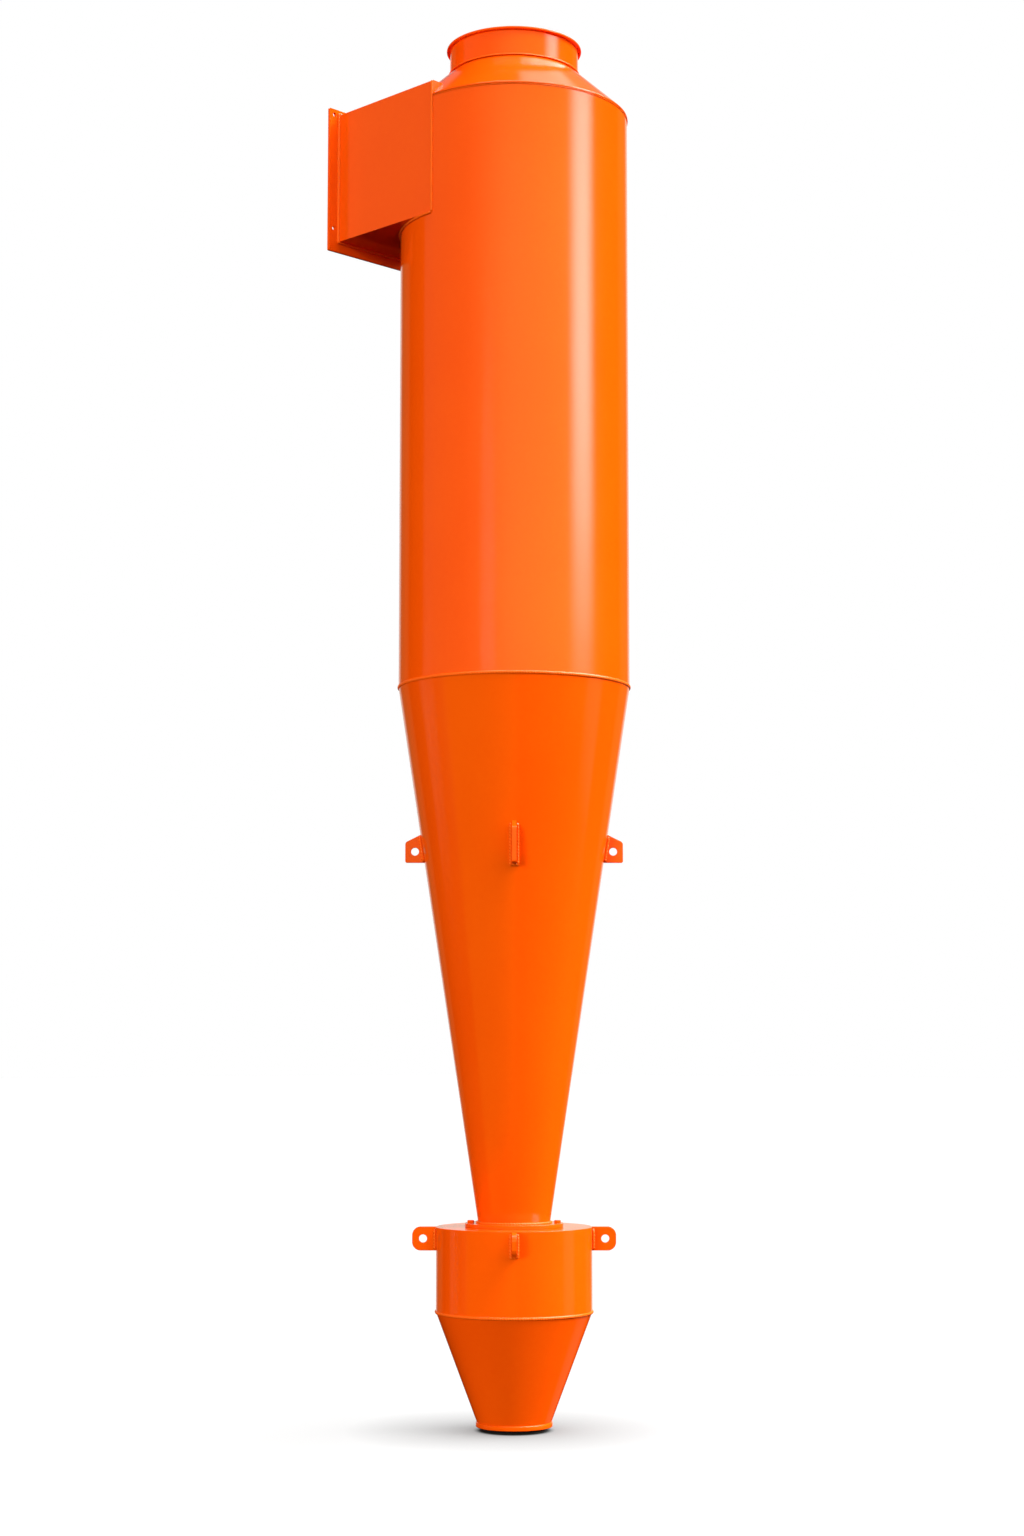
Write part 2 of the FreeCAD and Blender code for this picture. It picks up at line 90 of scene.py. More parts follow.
class Wiring:
    """Adds nodes to one tree and joins their sockets."""

    def __init__(self, tree: bpy.types.NodeTree) -> None:
        """Keep the tree that is wired.

        Args:
            tree: a shader, world or geometry node tree.
        """
        self.tree = tree

    def add(self, kind: str, inputs: dict | None = None, **settings: object) -> bpy.types.Node:
        """Add a node, set its properties, and fill or link its inputs.

        Args:
            kind: the node's type name.
            inputs: value or source socket for each input, by name or index.
            settings: properties of the node.

        Returns:
            The new node.
        """
        node = self.tree.nodes.new(kind)
        for name, value in settings.items():
            setattr(node, name, value)
        for key, value in (inputs or {}).items():
            if isinstance(value, bpy.types.NodeSocket):
                self.tree.links.new(value, node.inputs[key])
            else:
                node.inputs[key].default_value = value
        return node

    def math(self, operation: str, *values: object) -> bpy.types.NodeSocket:
        """Add one Math node.

        Args:
            operation: the Math node's operation.
            values: numbers or sockets for its inputs, in order.

        Returns:
            The result's socket.
        """
        return self.add("ShaderNodeMath", dict(enumerate(values)), operation=operation).outputs[0]

    def vector(self, operation: str, *values: object) -> bpy.types.NodeSocket:
        """Add one Vector Math node.

        Args:
            operation: the Vector Math node's operation.
            values: vectors or sockets for its inputs, in order; SCALE takes its factor last.

        Returns:
            The result's socket, a number for DOT_PRODUCT and LENGTH.
        """
        inputs = {0: values[0], "Scale": values[1]} if operation == "SCALE" else dict(enumerate(values))
        node = self.add("ShaderNodeVectorMath", inputs, operation=operation)
        return node.outputs["Value" if operation in ("DOT_PRODUCT", "LENGTH") else "Vector"]

    def ramp(self, value: object, start: object, stop: object) -> bpy.types.NodeSocket:
        """Add a smooth step from 0 at start to 1 at stop.

        Args:
            value: the number or socket to step on.
            start: where the step begins.
            stop: where the step ends.

        Returns:
            The step's socket.
        """
        inputs = {"Value": value, "From Min": start, "From Max": stop}
        return self.add("ShaderNodeMapRange", inputs, interpolation_type="SMOOTHSTEP").outputs[0]


def new_group(name: str, kind: str, inputs: dict[str, str], outputs: dict[str, str]) -> Wiring:
    """Make a node group with named sockets.

    Args:
        name: the group's name.
        kind: "ShaderNodeTree" or "GeometryNodeTree".
        inputs: short socket type, such as "Float", for each input.
        outputs: the same for each output.

    Returns:
        The wiring of the new group.
    """
    tree = bpy.data.node_groups.new(name, kind)
    for sockets, side in ((inputs, "INPUT"), (outputs, "OUTPUT")):
        for label, socket in sockets.items():
            tree.interface.new_socket(name=label, in_out=side, socket_type="NodeSocket" + socket)
    return Wiring(tree)


# ------------------------------------------------------------------- finishes


def enamel_skin_group() -> bpy.types.NodeTree:
    """Build the surface of sprayed enamel on rolled sheet.

    The skin has the fine peel of sprayed paint and the slow waves of the sheet below it.

    Returns:
        A group with a Normal.
    """
    inputs = dict.fromkeys(("Peel Width", "Peel Height", "Wave Width", "Wave Height"), "Float")
    wiring = new_group("enamel_skin", "ShaderNodeTree", inputs, {"Normal": "Vector"})
    given = wiring.add("NodeGroupInput").outputs
    place = wiring.add("ShaderNodeTexCoord").outputs["Object"]

    def relief(name: str, detail: float) -> bpy.types.NodeSocket:
        """Noise of one width, as a height in metres."""
        scale = wiring.math("DIVIDE", 1.0, given[name + " Width"])
        noise = wiring.add("ShaderNodeTexNoise", {"Vector": place, "Scale": scale, "Detail": detail})
        centred = wiring.math("SUBTRACT", noise.outputs[0], 0.5)
        return wiring.math("MULTIPLY", centred, given[name + " Height"])

    peel, wave = relief("Peel", 2.0), relief("Wave", 1.0)
    height = wiring.math("ADD", peel, wave)
    bump = wiring.add("ShaderNodeBump", {"Strength": 1.0, "Distance": 1.0, "Height": height})
    wiring.add("NodeGroupOutput", {"Normal": bump.outputs[0]})
    return wiring.tree


def paint_tone_group() -> bpy.types.NodeTree:
    """Build the drift of a paint's colour over broad patches and small mottles.

    Returns:
        A group with the drifted Color and the broad Patch mask.
    """
    inputs = {"Paint": "Color", "Thin": "Color", "Patch Size": "Float", "Drift": "Float"}
    wiring = new_group("paint_tone", "ShaderNodeTree", inputs, {"Color": "Color", "Patch": "Float"})
    given = wiring.add("NodeGroupInput").outputs
    place = wiring.add("ShaderNodeTexCoord").outputs["Object"]
    scale = wiring.math("DIVIDE", 1.0, given["Patch Size"])
    patch = wiring.add("ShaderNodeTexNoise", {"Vector": place, "Scale": scale, "Detail": 3.0})
    mottle = wiring.add("ShaderNodeTexNoise", {"Vector": place, "Scale": 90.0, "Detail": 2.0})
    both = wiring.math("MULTIPLY_ADD", mottle.outputs[0], 0.35, patch.outputs[0])
    share = wiring.math("MULTIPLY", wiring.ramp(both, 0.45, 0.95), given["Drift"])
    colours = {"Factor": share, 6: given["Paint"], 7: given["Thin"]}
    mixed = wiring.add("ShaderNodeMix", colours, data_type="RGBA").outputs[2]
    wiring.add("NodeGroupOutput", {"Color": mixed, "Patch": patch.outputs[0]})
    return wiring.tree


@dataclass(frozen=True)
class Enamel:
    """Glossy orange enamel, sprayed over one kind of steel part."""

    slot: Slot
    paint: tuple[float, float, float, float] = (0.84, 0.078, 0.0007, 1.0)
    thin: tuple[float, float, float, float] = (0.88, 0.098, 0.0016, 1.0)
    drift: float = 0.45
    patch_size: float = 0.3
    gloss: float = 0.09
    gloss_spread: float = 0.06
    peel_width: float = 0.004
    peel_height: float = 0.00002
    wave_width: float = 0.26
    wave_height: float = 0.0009

    def coat(self, wiring: Wiring) -> tuple[bpy.types.NodeSocket, bpy.types.NodeSocket]:
        """Wire the paint's colour and roughness.

        Args:
            wiring: the material's own wiring.

        Returns:
            The sockets of the colour and of the roughness.
        """
        inputs = {
            "Paint": self.paint,
            "Thin": self.thin,
            "Patch Size": self.patch_size,
            "Drift": self.drift,
        }
        tone = wiring.add("ShaderNodeGroup", inputs, node_tree=bpy.data.node_groups["paint_tone"])
        rough = wiring.math("MULTIPLY_ADD", tone.outputs["Patch"], self.gloss_spread, self.gloss)
        return tone.outputs["Color"], rough

    def skin(self, wiring: Wiring) -> bpy.types.NodeSocket:
        """Wire the peel and the waves of the surface.

        Args:
            wiring: the material's own wiring.

        Returns:
            The socket of the normal.
        """
        inputs = {
            "Peel Width": self.peel_width,
            "Peel Height": self.peel_height,
            "Wave Width": self.wave_width,
            "Wave Height": self.wave_height,
        }
        skin = wiring.add("ShaderNodeGroup", inputs, node_tree=bpy.data.node_groups["enamel_skin"])
        return skin.outputs["Normal"]

    def material(self) -> bpy.types.Material:
        """Build the finish's material.

        Returns:
            The material, named after its slot.
        """
        made = bpy.data.materials.new(self.slot.value + "_enamel")
        made.use_nodes = True
        wiring = Wiring(made.node_tree)
        shader = made.node_tree.nodes["Principled BSDF"]
        colour, rough = self.coat(wiring)
        sources = {"Base Color": colour, "Roughness": rough, "Normal": self.skin(wiring)}
        for name, source in sources.items():
            made.node_tree.links.new(source, shader.inputs[name])
        shader.inputs["IOR"].default_value = 1.5
        return made


@dataclass(frozen=True)
class WeldEnamel(Enamel):
    """The same enamel over a weld bead, lighter on each ripple's crest: a painted highlight, partly
    thinner paint there.
    """

    # painted highlight: the pale cream that the ripples' outward crests take, standing in for their glints
    crest: tuple[float, float, float, float] = (0.93, 0.15, 0.012, 1.0)

    def coat(self, wiring: Wiring) -> tuple[bpy.types.NodeSocket, bpy.types.NodeSocket]:
        """Wire the colour and roughness, both changed along the bead's ripples; the crests get a painted
        highlight colour.

        Args:
            wiring: the material's own wiring.

        Returns:
            The sockets of the colour and of the roughness.
        """
        colour, rough = super().coat(wiring)
        ripple = wiring.add("ShaderNodeAttribute", attribute_name="ripple").outputs["Fac"]
        # painted highlight: the crests are mixed towards the pale crest colour
        crest = wiring.math("MULTIPLY", wiring.ramp(ripple, 0.3, 1.0), 0.85)
        colours = {"Factor": crest, 6: colour, 7: self.crest}
        mixed = wiring.add("ShaderNodeMix", colours, data_type="RGBA").outputs[2]
        return mixed, wiring.math("MULTIPLY_ADD", crest, -0.05, rough)


@dataclass(frozen=True)
class Palette:
    """The finish of each slot."""

    shell: Enamel = Enamel(Slot.SHELL)
    fitting: Enamel = Enamel(Slot.FITTING, patch_size=0.05, wave_height=0.0, gloss=0.12)
    weld: WeldEnamel = WeldEnamel(Slot.WELD, patch_size=0.03, wave_height=0.0, gloss=0.1)

    def materials(self) -> dict[Slot, bpy.types.Material]:
        """Build the shared groups once and then each material.

        Returns:
            The material of each slot.
        """
        enamel_skin_group()
        paint_tone_group()
        return {finish.slot: finish.material() for finish in (self.shell, self.fitting, self.weld)}


# ---------------------------------------------------------------- mesh making


@dataclass(frozen=True)
class Extent:
    """Lowest and highest corners of a CAD node."""

    low: Vector
    high: Vector

    @classmethod
    def of(cls, node: str) -> Extent:
        """Read a node's extent from the frame."""
        low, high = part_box(node)
        return cls(Vector(low), Vector(high))

    @property
    def radius(self) -> float:
        """Outer radius of a node that is turned about the axis."""
        return max(self.high.x, self.high.y)


@dataclass(frozen=True)
class Corner:
    """One corner of a turned profile, sharp or rounded."""

    radius: float
    height: float
    round: float = 0.0


def rounded_profile(corners: Sequence[Corner]) -> list[Vector]:
    """Turn corners into points, with an arc at each rounded one.

    Args:
        corners: the closed profile's corners in order.

    Returns:
        Points (radius, height) of the profile.
    """
    points = []
    for k, corner in enumerate(corners):
        here = Vector((corner.radius, corner.height))
        if not corner.round:
            points.append(here)
            continue
        before, after = corners[k - 1], corners[(k + 1) % len(corners)]
        to_before = (Vector((before.radius, before.height)) - here).normalized()
        to_after = (Vector((after.radius, after.height)) - here).normalized()
        half = to_before.angle(to_after) / 2
        centre = here + (to_before + to_after).normalized() * corner.round / math.sin(half)
        start = here + to_before * corner.round / math.tan(half) - centre
        turn = start.angle_signed(here + to_after * corner.round / math.tan(half) - centre)
        for step in range(ROUND_STEPS + 1):
            points.append(centre + Matrix.Rotation(-turn * step / ROUND_STEPS, 2) @ start)
    return points


def ring_profile(bore: float, extent: Extent, under: float = 0.0, over: float = 0.0) -> list[Corner]:
    """Draw the profile of a flat ring.

    Args:
        bore: the ring's inner radius.
        extent: the ring's CAD extent, which gives its rim and its height.
        under: rounding of the rim's lower edge.
        over: rounding of its upper edge.

    Returns:
        The profile's corners.
    """
    rim, low, high = extent.radius, extent.low.z, extent.high.z
    return [Corner(bore, low), Corner(rim, low, under), Corner(rim, high, over), Corner(bore, high)]


def sheet_profile(foot: Corner, head: Corner, sheet: float) -> list[Corner]:
    """Draw the profile of a rolled sheet, straight or conical.

    Args:
        foot: the outside's lower corner.
        head: the outside's upper corner.
        sheet: the sheet's thickness.

    Returns:
        The profile's corners.
    """
    wall = sheet * math.hypot(1.0, (head.radius - foot.radius) / (head.height - foot.height))
    inner_foot = Corner(foot.radius - wall, foot.height)
    return [inner_foot, foot, head, Corner(head.radius - wall, head.height)]


def turned_mesh(name: str, corners: Sequence[Corner]) -> bpy.types.Mesh:
    """Turn a closed profile about the vessel's axis.

    Args:
        name: the mesh's name.
        corners: the profile.

    Returns:
        A closed mesh whose faces point outwards.
    """
    profile = rounded_profile(corners)
    count = len(profile)
    verts, faces = [], []
    for step in range(TURN_STEPS):
        angle = 2 * math.pi * step / TURN_STEPS
        across, along = math.cos(angle), math.sin(angle)
        verts += [(point.x * across, point.x * along, point.y) for point in profile]
        here, there = step * count, (step + 1) % TURN_STEPS * count
        for k in range(count):
            after = (k + 1) % count
            faces.append((here + k, there + k, there + after, here + after))
    mesh = bpy.data.meshes.new(name)
    mesh.from_pydata(verts, [], faces)
    face_outwards(mesh)
    return mesh


def face_outwards(mesh: bpy.types.Mesh) -> None:
    """Merge a mesh's doubles and point its faces outwards."""
    work = bmesh.new()
    work.from_mesh(mesh)
    bmesh.ops.remove_doubles(work, verts=work.verts, dist=MERGE)
    bmesh.ops.recalc_face_normals(work, faces=work.faces)
    work.to_mesh(mesh)
    work.free()


def new_object(name: str, mesh: bpy.types.Mesh) -> bpy.types.Object:
    """Put a mesh into the scene as an object at the origin."""
    made = bpy.data.objects.new(name, mesh)
    bpy.context.scene.collection.objects.link(made)
    return made


def made_plain(piece: bpy.types.Object) -> None:
    """Replace an object's mesh by its evaluated one and drop its modifiers."""
    graph = bpy.context.evaluated_depsgraph_get()
    mesh = bpy.data.meshes.new_from_object(piece.evaluated_get(graph))
    piece.modifiers.clear()
    old, piece.data = piece.data, mesh
    bpy.data.meshes.remove(old)
    mesh.name = piece.name


def shaded(piece: bpy.types.Object, sharp: float = 32.0) -> bpy.types.Object:
    """Shade an object smooth, with flat faces kept flat and sharp edges sharp.

    Args:
        piece: the object to shade.
        sharp: angle in degrees above which an edge stays sharp.

    Returns:
        The same object.
    """
    piece.data.shade_smooth()
    piece.data.set_sharp_from_angle(angle=math.radians(sharp))
    weighted = piece.modifiers.new("weighted", "WEIGHTED_NORMAL")
    weighted.keep_sharp = True
    weighted.weight = 100
    made_plain(piece)
    return piece


def cut_box(piece: bpy.types.Object, low: Vector, high: Vector) -> None:
    """Cut a box out of a closed object.

    Args:
        piece: the object that is cut.
        low: the box's lowest corner.
        high: the box's highest corner.
    """
    mesh = bpy.data.meshes.new("cutter")
    work = bmesh.new()
    place = Matrix.Translation((low + high) / 2) @ Matrix.Diagonal((high - low).to_4d())
    bmesh.ops.create_cube(work, size=1.0, matrix=place)
    work.to_mesh(mesh)
    work.free()
    cutter = new_object("cutter", mesh)
    cut = piece.modifiers.new("cut", "BOOLEAN")
    cut.operation, cut.solver, cut.object = "DIFFERENCE", "EXACT", cutter
    made_plain(piece)
    bpy.data.objects.remove(cutter)
    bpy.data.meshes.remove(mesh)


EdgeChoice = Callable[[Vector, Vector], float]


def softened(node: str, widest: float, chosen: EdgeChoice) -> bpy.types.Object:
    """Copy a CAD node's mesh and round the chosen ones of its sharp edges.

    Args:
        node: the CAD node.
        widest: size of the widest rounding.
        chosen: tells from an edge's two ends how widely it is rounded, or 0.

    Returns:
        The new object.
    """
    work = bmesh.new()
    work.from_mesh(bpy.data.objects[node].data)
    bmesh.ops.remove_doubles(work, verts=work.verts, dist=MERGE)
    flat = math.radians(0.5)
    bmesh.ops.dissolve_limit(work, angle_limit=flat, verts=work.verts, edges=work.edges, delimit=set())
    weights = work.edges.layers.float.new("bevel_weight_edge")
    for edge in work.edges:
        sharp = len(edge.link_faces) == 2 and edge.calc_face_angle() > math.radians(35)
        if sharp:
            edge[weights] = chosen(edge.verts[0].co, edge.verts[1].co) / widest
    mesh = bpy.data.meshes.new(node + "_soft")
    work.to_mesh(mesh)
    work.free()
    piece = new_object(node + "_soft", mesh)
    bevel = piece.modifiers.new("round", "BEVEL")
    bevel.width, bevel.segments, bevel.limit_method = widest, 3, "WEIGHT"
    bevel.use_clamp_overlap = True
    made_plain(piece)
    return shaded(piece)


# ----------------------------------------------------------------- weld beads


@dataclass
class Run:
    """The line that one bead is laid along, with the direction the bead faces."""

    points: list[Vector]
    outward: list[Vector]
    closed: bool = False

    @property
    def length(self) -> float:
        """Length of the run."""
        ends = self.points[1:] + (self.points[:1] if self.closed else [])
        return sum((b - a).length for a, b in zip(self.points, ends))


def ring_run(radius: float, height: float, lean: float, start: float = 0.0, stop: float = 360.0) -> Run:
    """Lay a run round the axis.

    Args:
        radius: distance from the axis.
        height: height of the run.
        lean: how far the bead faces up, in degrees.
        start: angle where the run starts, in degrees.
        stop: angle where it ends; 360 beyond the start closes it.

    Returns:
        The run.
    """
    closed = stop - start >= 360.0
    steps = max(2, round(abs(stop - start)))
    angles = [math.radians(start + (stop - start) * k / steps) for k in range(steps + (not closed))]
    spokes = [Vector((math.cos(a), math.sin(a), 0.0)) for a in angles]
    up = math.radians(lean)
    outward = [spoke * math.cos(up) + Vector((0, 0, math.sin(up))) for spoke in spokes]
    return Run([spoke * radius + Vector((0, 0, height)) for spoke in spokes], outward, closed)


def weld_bead_tree() -> bpy.types.NodeTree:
    """Build the tree that lays rippled weld beads along edges.

    The edges carry an "outward" vector. Each ripple is an arc that lags at the bead's toes, and the
    bead's hidden root is flattened towards the joint.

    Returns:
        The geometry node tree.
    """
    numbers = ("Bead Radius", "Ripple Pitch", "Ripple Depth", "Root", "Wander", "End Taper", "Seed")
    inputs = {"Runs": "Geometry", "Sides": "Int", "Finish": "Material", **dict.fromkeys(numbers, "Float")}
    wiring = new_group("weld_bead", "GeometryNodeTree", inputs, {"Bead": "Geometry"})
    given = wiring.add("NodeGroupInput").outputs
    curve = wiring.add("GeometryNodeMeshToCurve", {"Mesh": given["Runs"]}).outputs[0]
    step = wiring.math("DIVIDE", given["Ripple Pitch"], 5.0)
    sampled = {"Curve": curve, "Length": step}
    curve = wiring.add("GeometryNodeResampleCurve", sampled, mode="LENGTH").outputs[0]
    along = wiring.add("GeometryNodeSplineParameter").outputs["Length"]
    place = wiring.add("GeometryNodeInputPosition").outputs[0]

    def kept(shape: bpy.types.NodeSocket, name: str, kind: str, value: object) -> bpy.types.NodeSocket:
        """Store a value on the points under a name."""
        values = {"Geometry": shape, "Name": name, "Value": value}
        store = wiring.add("GeometryNodeStoreNamedAttribute", values, data_type=kind, domain="POINT")
        return store.outputs[0]

    def read(name: str, kind: str) -> bpy.types.NodeSocket:
        """Read a stored value."""
        node = wiring.add("GeometryNodeInputNamedAttribute", {"Name": name}, data_type=kind)
        return node.outputs["Attribute"]

    def moved(shape: bpy.types.NodeSocket, way: bpy.types.NodeSocket, far: object) -> bpy.types.NodeSocket:
        """Move the points along a direction."""
        values = {"Geometry": shape, "Offset": wiring.vector("SCALE", way, far)}
        return wiring.add("GeometryNodeSetPosition", values).outputs[0]

    noise = {"Vector": place, "W": given["Seed"], "Scale": 55.0, "Detail": 1.0}
    drift = wiring.add("ShaderNodeTexNoise", noise, noise_dimensions="4D").outputs[0]
    phase = wiring.math("DIVIDE", along, given["Ripple Pitch"])
    phase = wiring.math("ADD", phase, wiring.math("MULTIPLY", drift, given["Wander"]))
    curve = kept(curve, "run", "FLOAT", phase)
    curve = kept(curve, "middle", "FLOAT_VECTOR", place)
    length = wiring.add("GeometryNodeSplineLength").outputs[0]
    to_end = wiring.math("MINIMUM", along, wiring.math("SUBTRACT", length, along))
    blunt = 0.0006
    taper = wiring.math("ADD", given["End Taper"], blunt)
    taper = wiring.math("DIVIDE", wiring.math("ADD", to_end, blunt), taper)
    taper = wiring.math("SQRT", wiring.math("MINIMUM", taper, 1.0))
    even = wiring.math("SUBTRACT", 1.0, wiring.math("MULTIPLY", drift, 0.16))
    scale = wiring.math("MULTIPLY", given["Bead Radius"], wiring.math("MULTIPLY", even, taper))
    ring = wiring.add("GeometryNodeCurvePrimitiveCircle", {"Resolution": given["Sides"], "Radius": 1.0})
    swept = {"Curve": curve, "Profile Curve": ring.outputs[0], "Scale": scale, "Fill Caps": True}
    mesh = wiring.add("GeometryNodeCurveToMesh", swept).outputs[0]

    outward = read("outward", "FLOAT_VECTOR")
    away = wiring.vector("SUBTRACT", place, read("middle", "FLOAT_VECTOR"))
    out = wiring.vector("NORMALIZE", away)
    facing = wiring.vector("DOT_PRODUCT", out, outward)
    toe = wiring.math("SUBTRACT", 1.0, wiring.math("MAXIMUM", facing, 0.0))
    phase = wiring.math("SUBTRACT", read("run", "FLOAT"), toe)
    wave = wiring.math("ABSOLUTE", wiring.math("SINE", wiring.math("MULTIPLY", phase, math.pi)))
    crest = wiring.math("MULTIPLY", wave, wiring.ramp(facing, -0.1, 0.5))
    # the weld paint reads this value and paints a highlight on the crests
    mesh = kept(mesh, "ripple", "FLOAT", crest)
    sunk = wiring.math("MULTIPLY", wiring.math("SUBTRACT", crest, 1.0), given["Ripple Depth"])
    mesh = moved(mesh, out, sunk)
    behind = wiring.math("MINIMUM", wiring.vector("DOT_PRODUCT", away, outward), 0.0)
    lifted = wiring.math("MULTIPLY", behind, wiring.math("SUBTRACT", given["Root"], 1.0))
    mesh = moved(mesh, outward, lifted)
    for name in ("run", "middle", "outward"):
        mesh = wiring.add("GeometryNodeRemoveAttribute", {"Geometry": mesh, "Name": name}).outputs[0]
    mesh = wiring.add("GeometryNodeSetShadeSmooth", {"Geometry": mesh}).outputs[0]
    mesh = wiring.add("GeometryNodeRealizeInstances", {"Geometry": mesh}).outputs[0]
    painted = {"Geometry": mesh, "Material": given["Finish"]}
    wiring.add("NodeGroupOutput", {"Bead": wiring.add("GeometryNodeSetMaterial", painted).outputs[0]})
    return wiring.tree


def grown(piece: bpy.types.Object, tree: str, values: dict[str, object]) -> None:
    """Run a geometry tree on an object and keep the result as its plain mesh.

    Args:
        piece: the object whose mesh the tree starts from.
        tree: the tree's name.
        values: value for each of the tree's named inputs.
    """
    modifier = piece.modifiers.new(tree, "NODES")
    modifier.node_group = bpy.data.node_groups[tree]
    for item in modifier.node_group.interface.items_tree:
        if item.item_type == "SOCKET" and item.in_out == "INPUT" and item.name in values:
            modifier[item.identifier] = values[item.name]
    made_plain(piece)
    face_outwards(piece.data)


@dataclass(frozen=True)
class WeldBead:
    """A hand-laid weld bead of one size."""

    radius: float
    pitch: float = 0.0045
    depth: float = 0.0007
    sides: int = 14
    root: float = 0.35
    wander: float = 1.4
    taper: float = 0.003

    def lay(self, name: str, runs: Sequence[Run], finish: bpy.types.Material) -> bpy.types.Object:
        """Lay the bead along its runs.

        Args:
            name: name of the new piece.
            runs: the lines that it follows, all closed or all open.
            finish: its material.

        Returns:
            The bead as a plain mesh.
        """
        verts, edges, outward = [], [], []
        for run in runs:
            first = len(verts)
            verts += run.points
            outward += run.outward
            count = len(run.points)
            edges += [(first + k, first + (k + 1) % count) for k in range(count - (not run.closed))]
        mesh = bpy.data.meshes.new(name)
        mesh.from_pydata(verts, edges, [])
        facing = mesh.attributes.new("outward", "FLOAT_VECTOR", "POINT")
        facing.data.foreach_set("vector", [value for vector in outward for value in vector])
        piece = new_object(name, mesh)
        length, closed = runs[0].length, runs[0].closed
        values = {
            "Bead Radius": self.radius,
            "Ripple Pitch": length / round(length / self.pitch) if closed else self.pitch,
            "Ripple Depth": self.depth,
            "Sides": self.sides,
            "Root": self.root,
            "Wander": self.wander,
            "End Taper": 0.0 if closed else self.taper,
            "Seed": float(len(name)),
            "Finish": finish,
        }
        grown(piece, "weld_bead", values)
        piece.data.shade_smooth()
        return piece


# --------------------------------------------------------------- sub-assembly


@dataclass
class SubAssembly:
    """A group of pieces that share the vessel's finishes."""

    finishes: dict[Slot, bpy.types.Material]

    def dress(self, piece: bpy.types.Object, slot: Slot, *nodes: str) -> bpy.types.Object:
        """Give a piece its finish and its place on the vessel.

        Args:
            piece: the finished mesh object.
            slot: its material slot.
            nodes: the CAD nodes that it stands for.

        Returns:
            The same object.
        """
        piece.data.materials.clear()
        piece.data.materials.append(self.finishes[slot])
        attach(piece, BODY)
        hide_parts(*nodes)
        return piece

    def keep(self, node: str, slot: Slot) -> bpy.types.Object:
        """Give a CAD node that stays its finish.

        Args:
            node: the CAD node.
            slot: its material slot.

        Returns:
            The node's object.
        """
        shown = bpy.data.objects[node]
        for place in shown.material_slots:
            place.material = self.finishes[slot]
        return shown

    def turned(self, node: str, slot: Slot, corners: Sequence[Corner]) -> bpy.types.Object:
        """Replace a CAD node by a smooth turned piece.

        Args:
            node: the CAD node.
            slot: its material slot.
            corners: the piece's profile.

        Returns:
            The new piece.
        """
        piece = new_object(node + "_turned", turned_mesh(node, corners))
        return self.dress(shaded(piece), slot, node)

    def welded(self, node: str, bead: WeldBead, runs: Sequence[Run]) -> bpy.types.Object:
        """Replace a CAD weld by a rippled bead.

        Args:
            node: the CAD node.
            bead: the size of the bead.
            runs: the lines that it follows.

        Returns:
            The new piece.
        """
        piece = bead.lay(node + "_bead", runs, self.finishes[Slot.WELD])
        return self.dress(piece, Slot.WELD, node)

    def build(self) -> list[bpy.types.Object]:
        """Build the pieces. Each sub-assembly has its own way."""
        raise NotImplementedError


@dataclass
class Outlet(SubAssembly):
    """Outlet pipe, its rolled rim and the weld that joins it to the roof."""

    sheet: float = 0.002
    edge_round: float = 0.0006
    rim_round: float = 0.0022
    bead: WeldBead = WeldBead(radius=0.0032)
    bead_out: float = 0.0018
    bead_up: float = 0.001
    bead_lean: float = 66.0

    def build(self) -> list[bpy.types.Object]:
        """Build the pipe, the rim and the weld."""
        pipe, rim, weld = (Extent.of("outlet_" + name) for name in ("pipe", "rim", "weld"))
        inner = pipe.radius - self.sheet
        pipe_corners = [
            Corner(inner, pipe.low.z, self.edge_round),
            Corner(pipe.radius, pipe.low.z, self.edge_round),
            Corner(pipe.radius, pipe.high.z),
            Corner(inner, pipe.high.z, self.edge_round),
        ]
        rim_corners = ring_profile(pipe.radius, rim, self.rim_round, self.rim_round)
        joint = Extent.of("roof_cone").high.z
        run = ring_run(weld.radius - WELD_LEG + self.bead_out, joint + self.bead_up, self.bead_lean)
        return [
            self.turned("outlet_pipe", Slot.SHELL, pipe_corners),
            self.turned("outlet_rim", Slot.FITTING, rim_corners),
            self.welded("outlet_weld", self.bead, [run]),
        ]


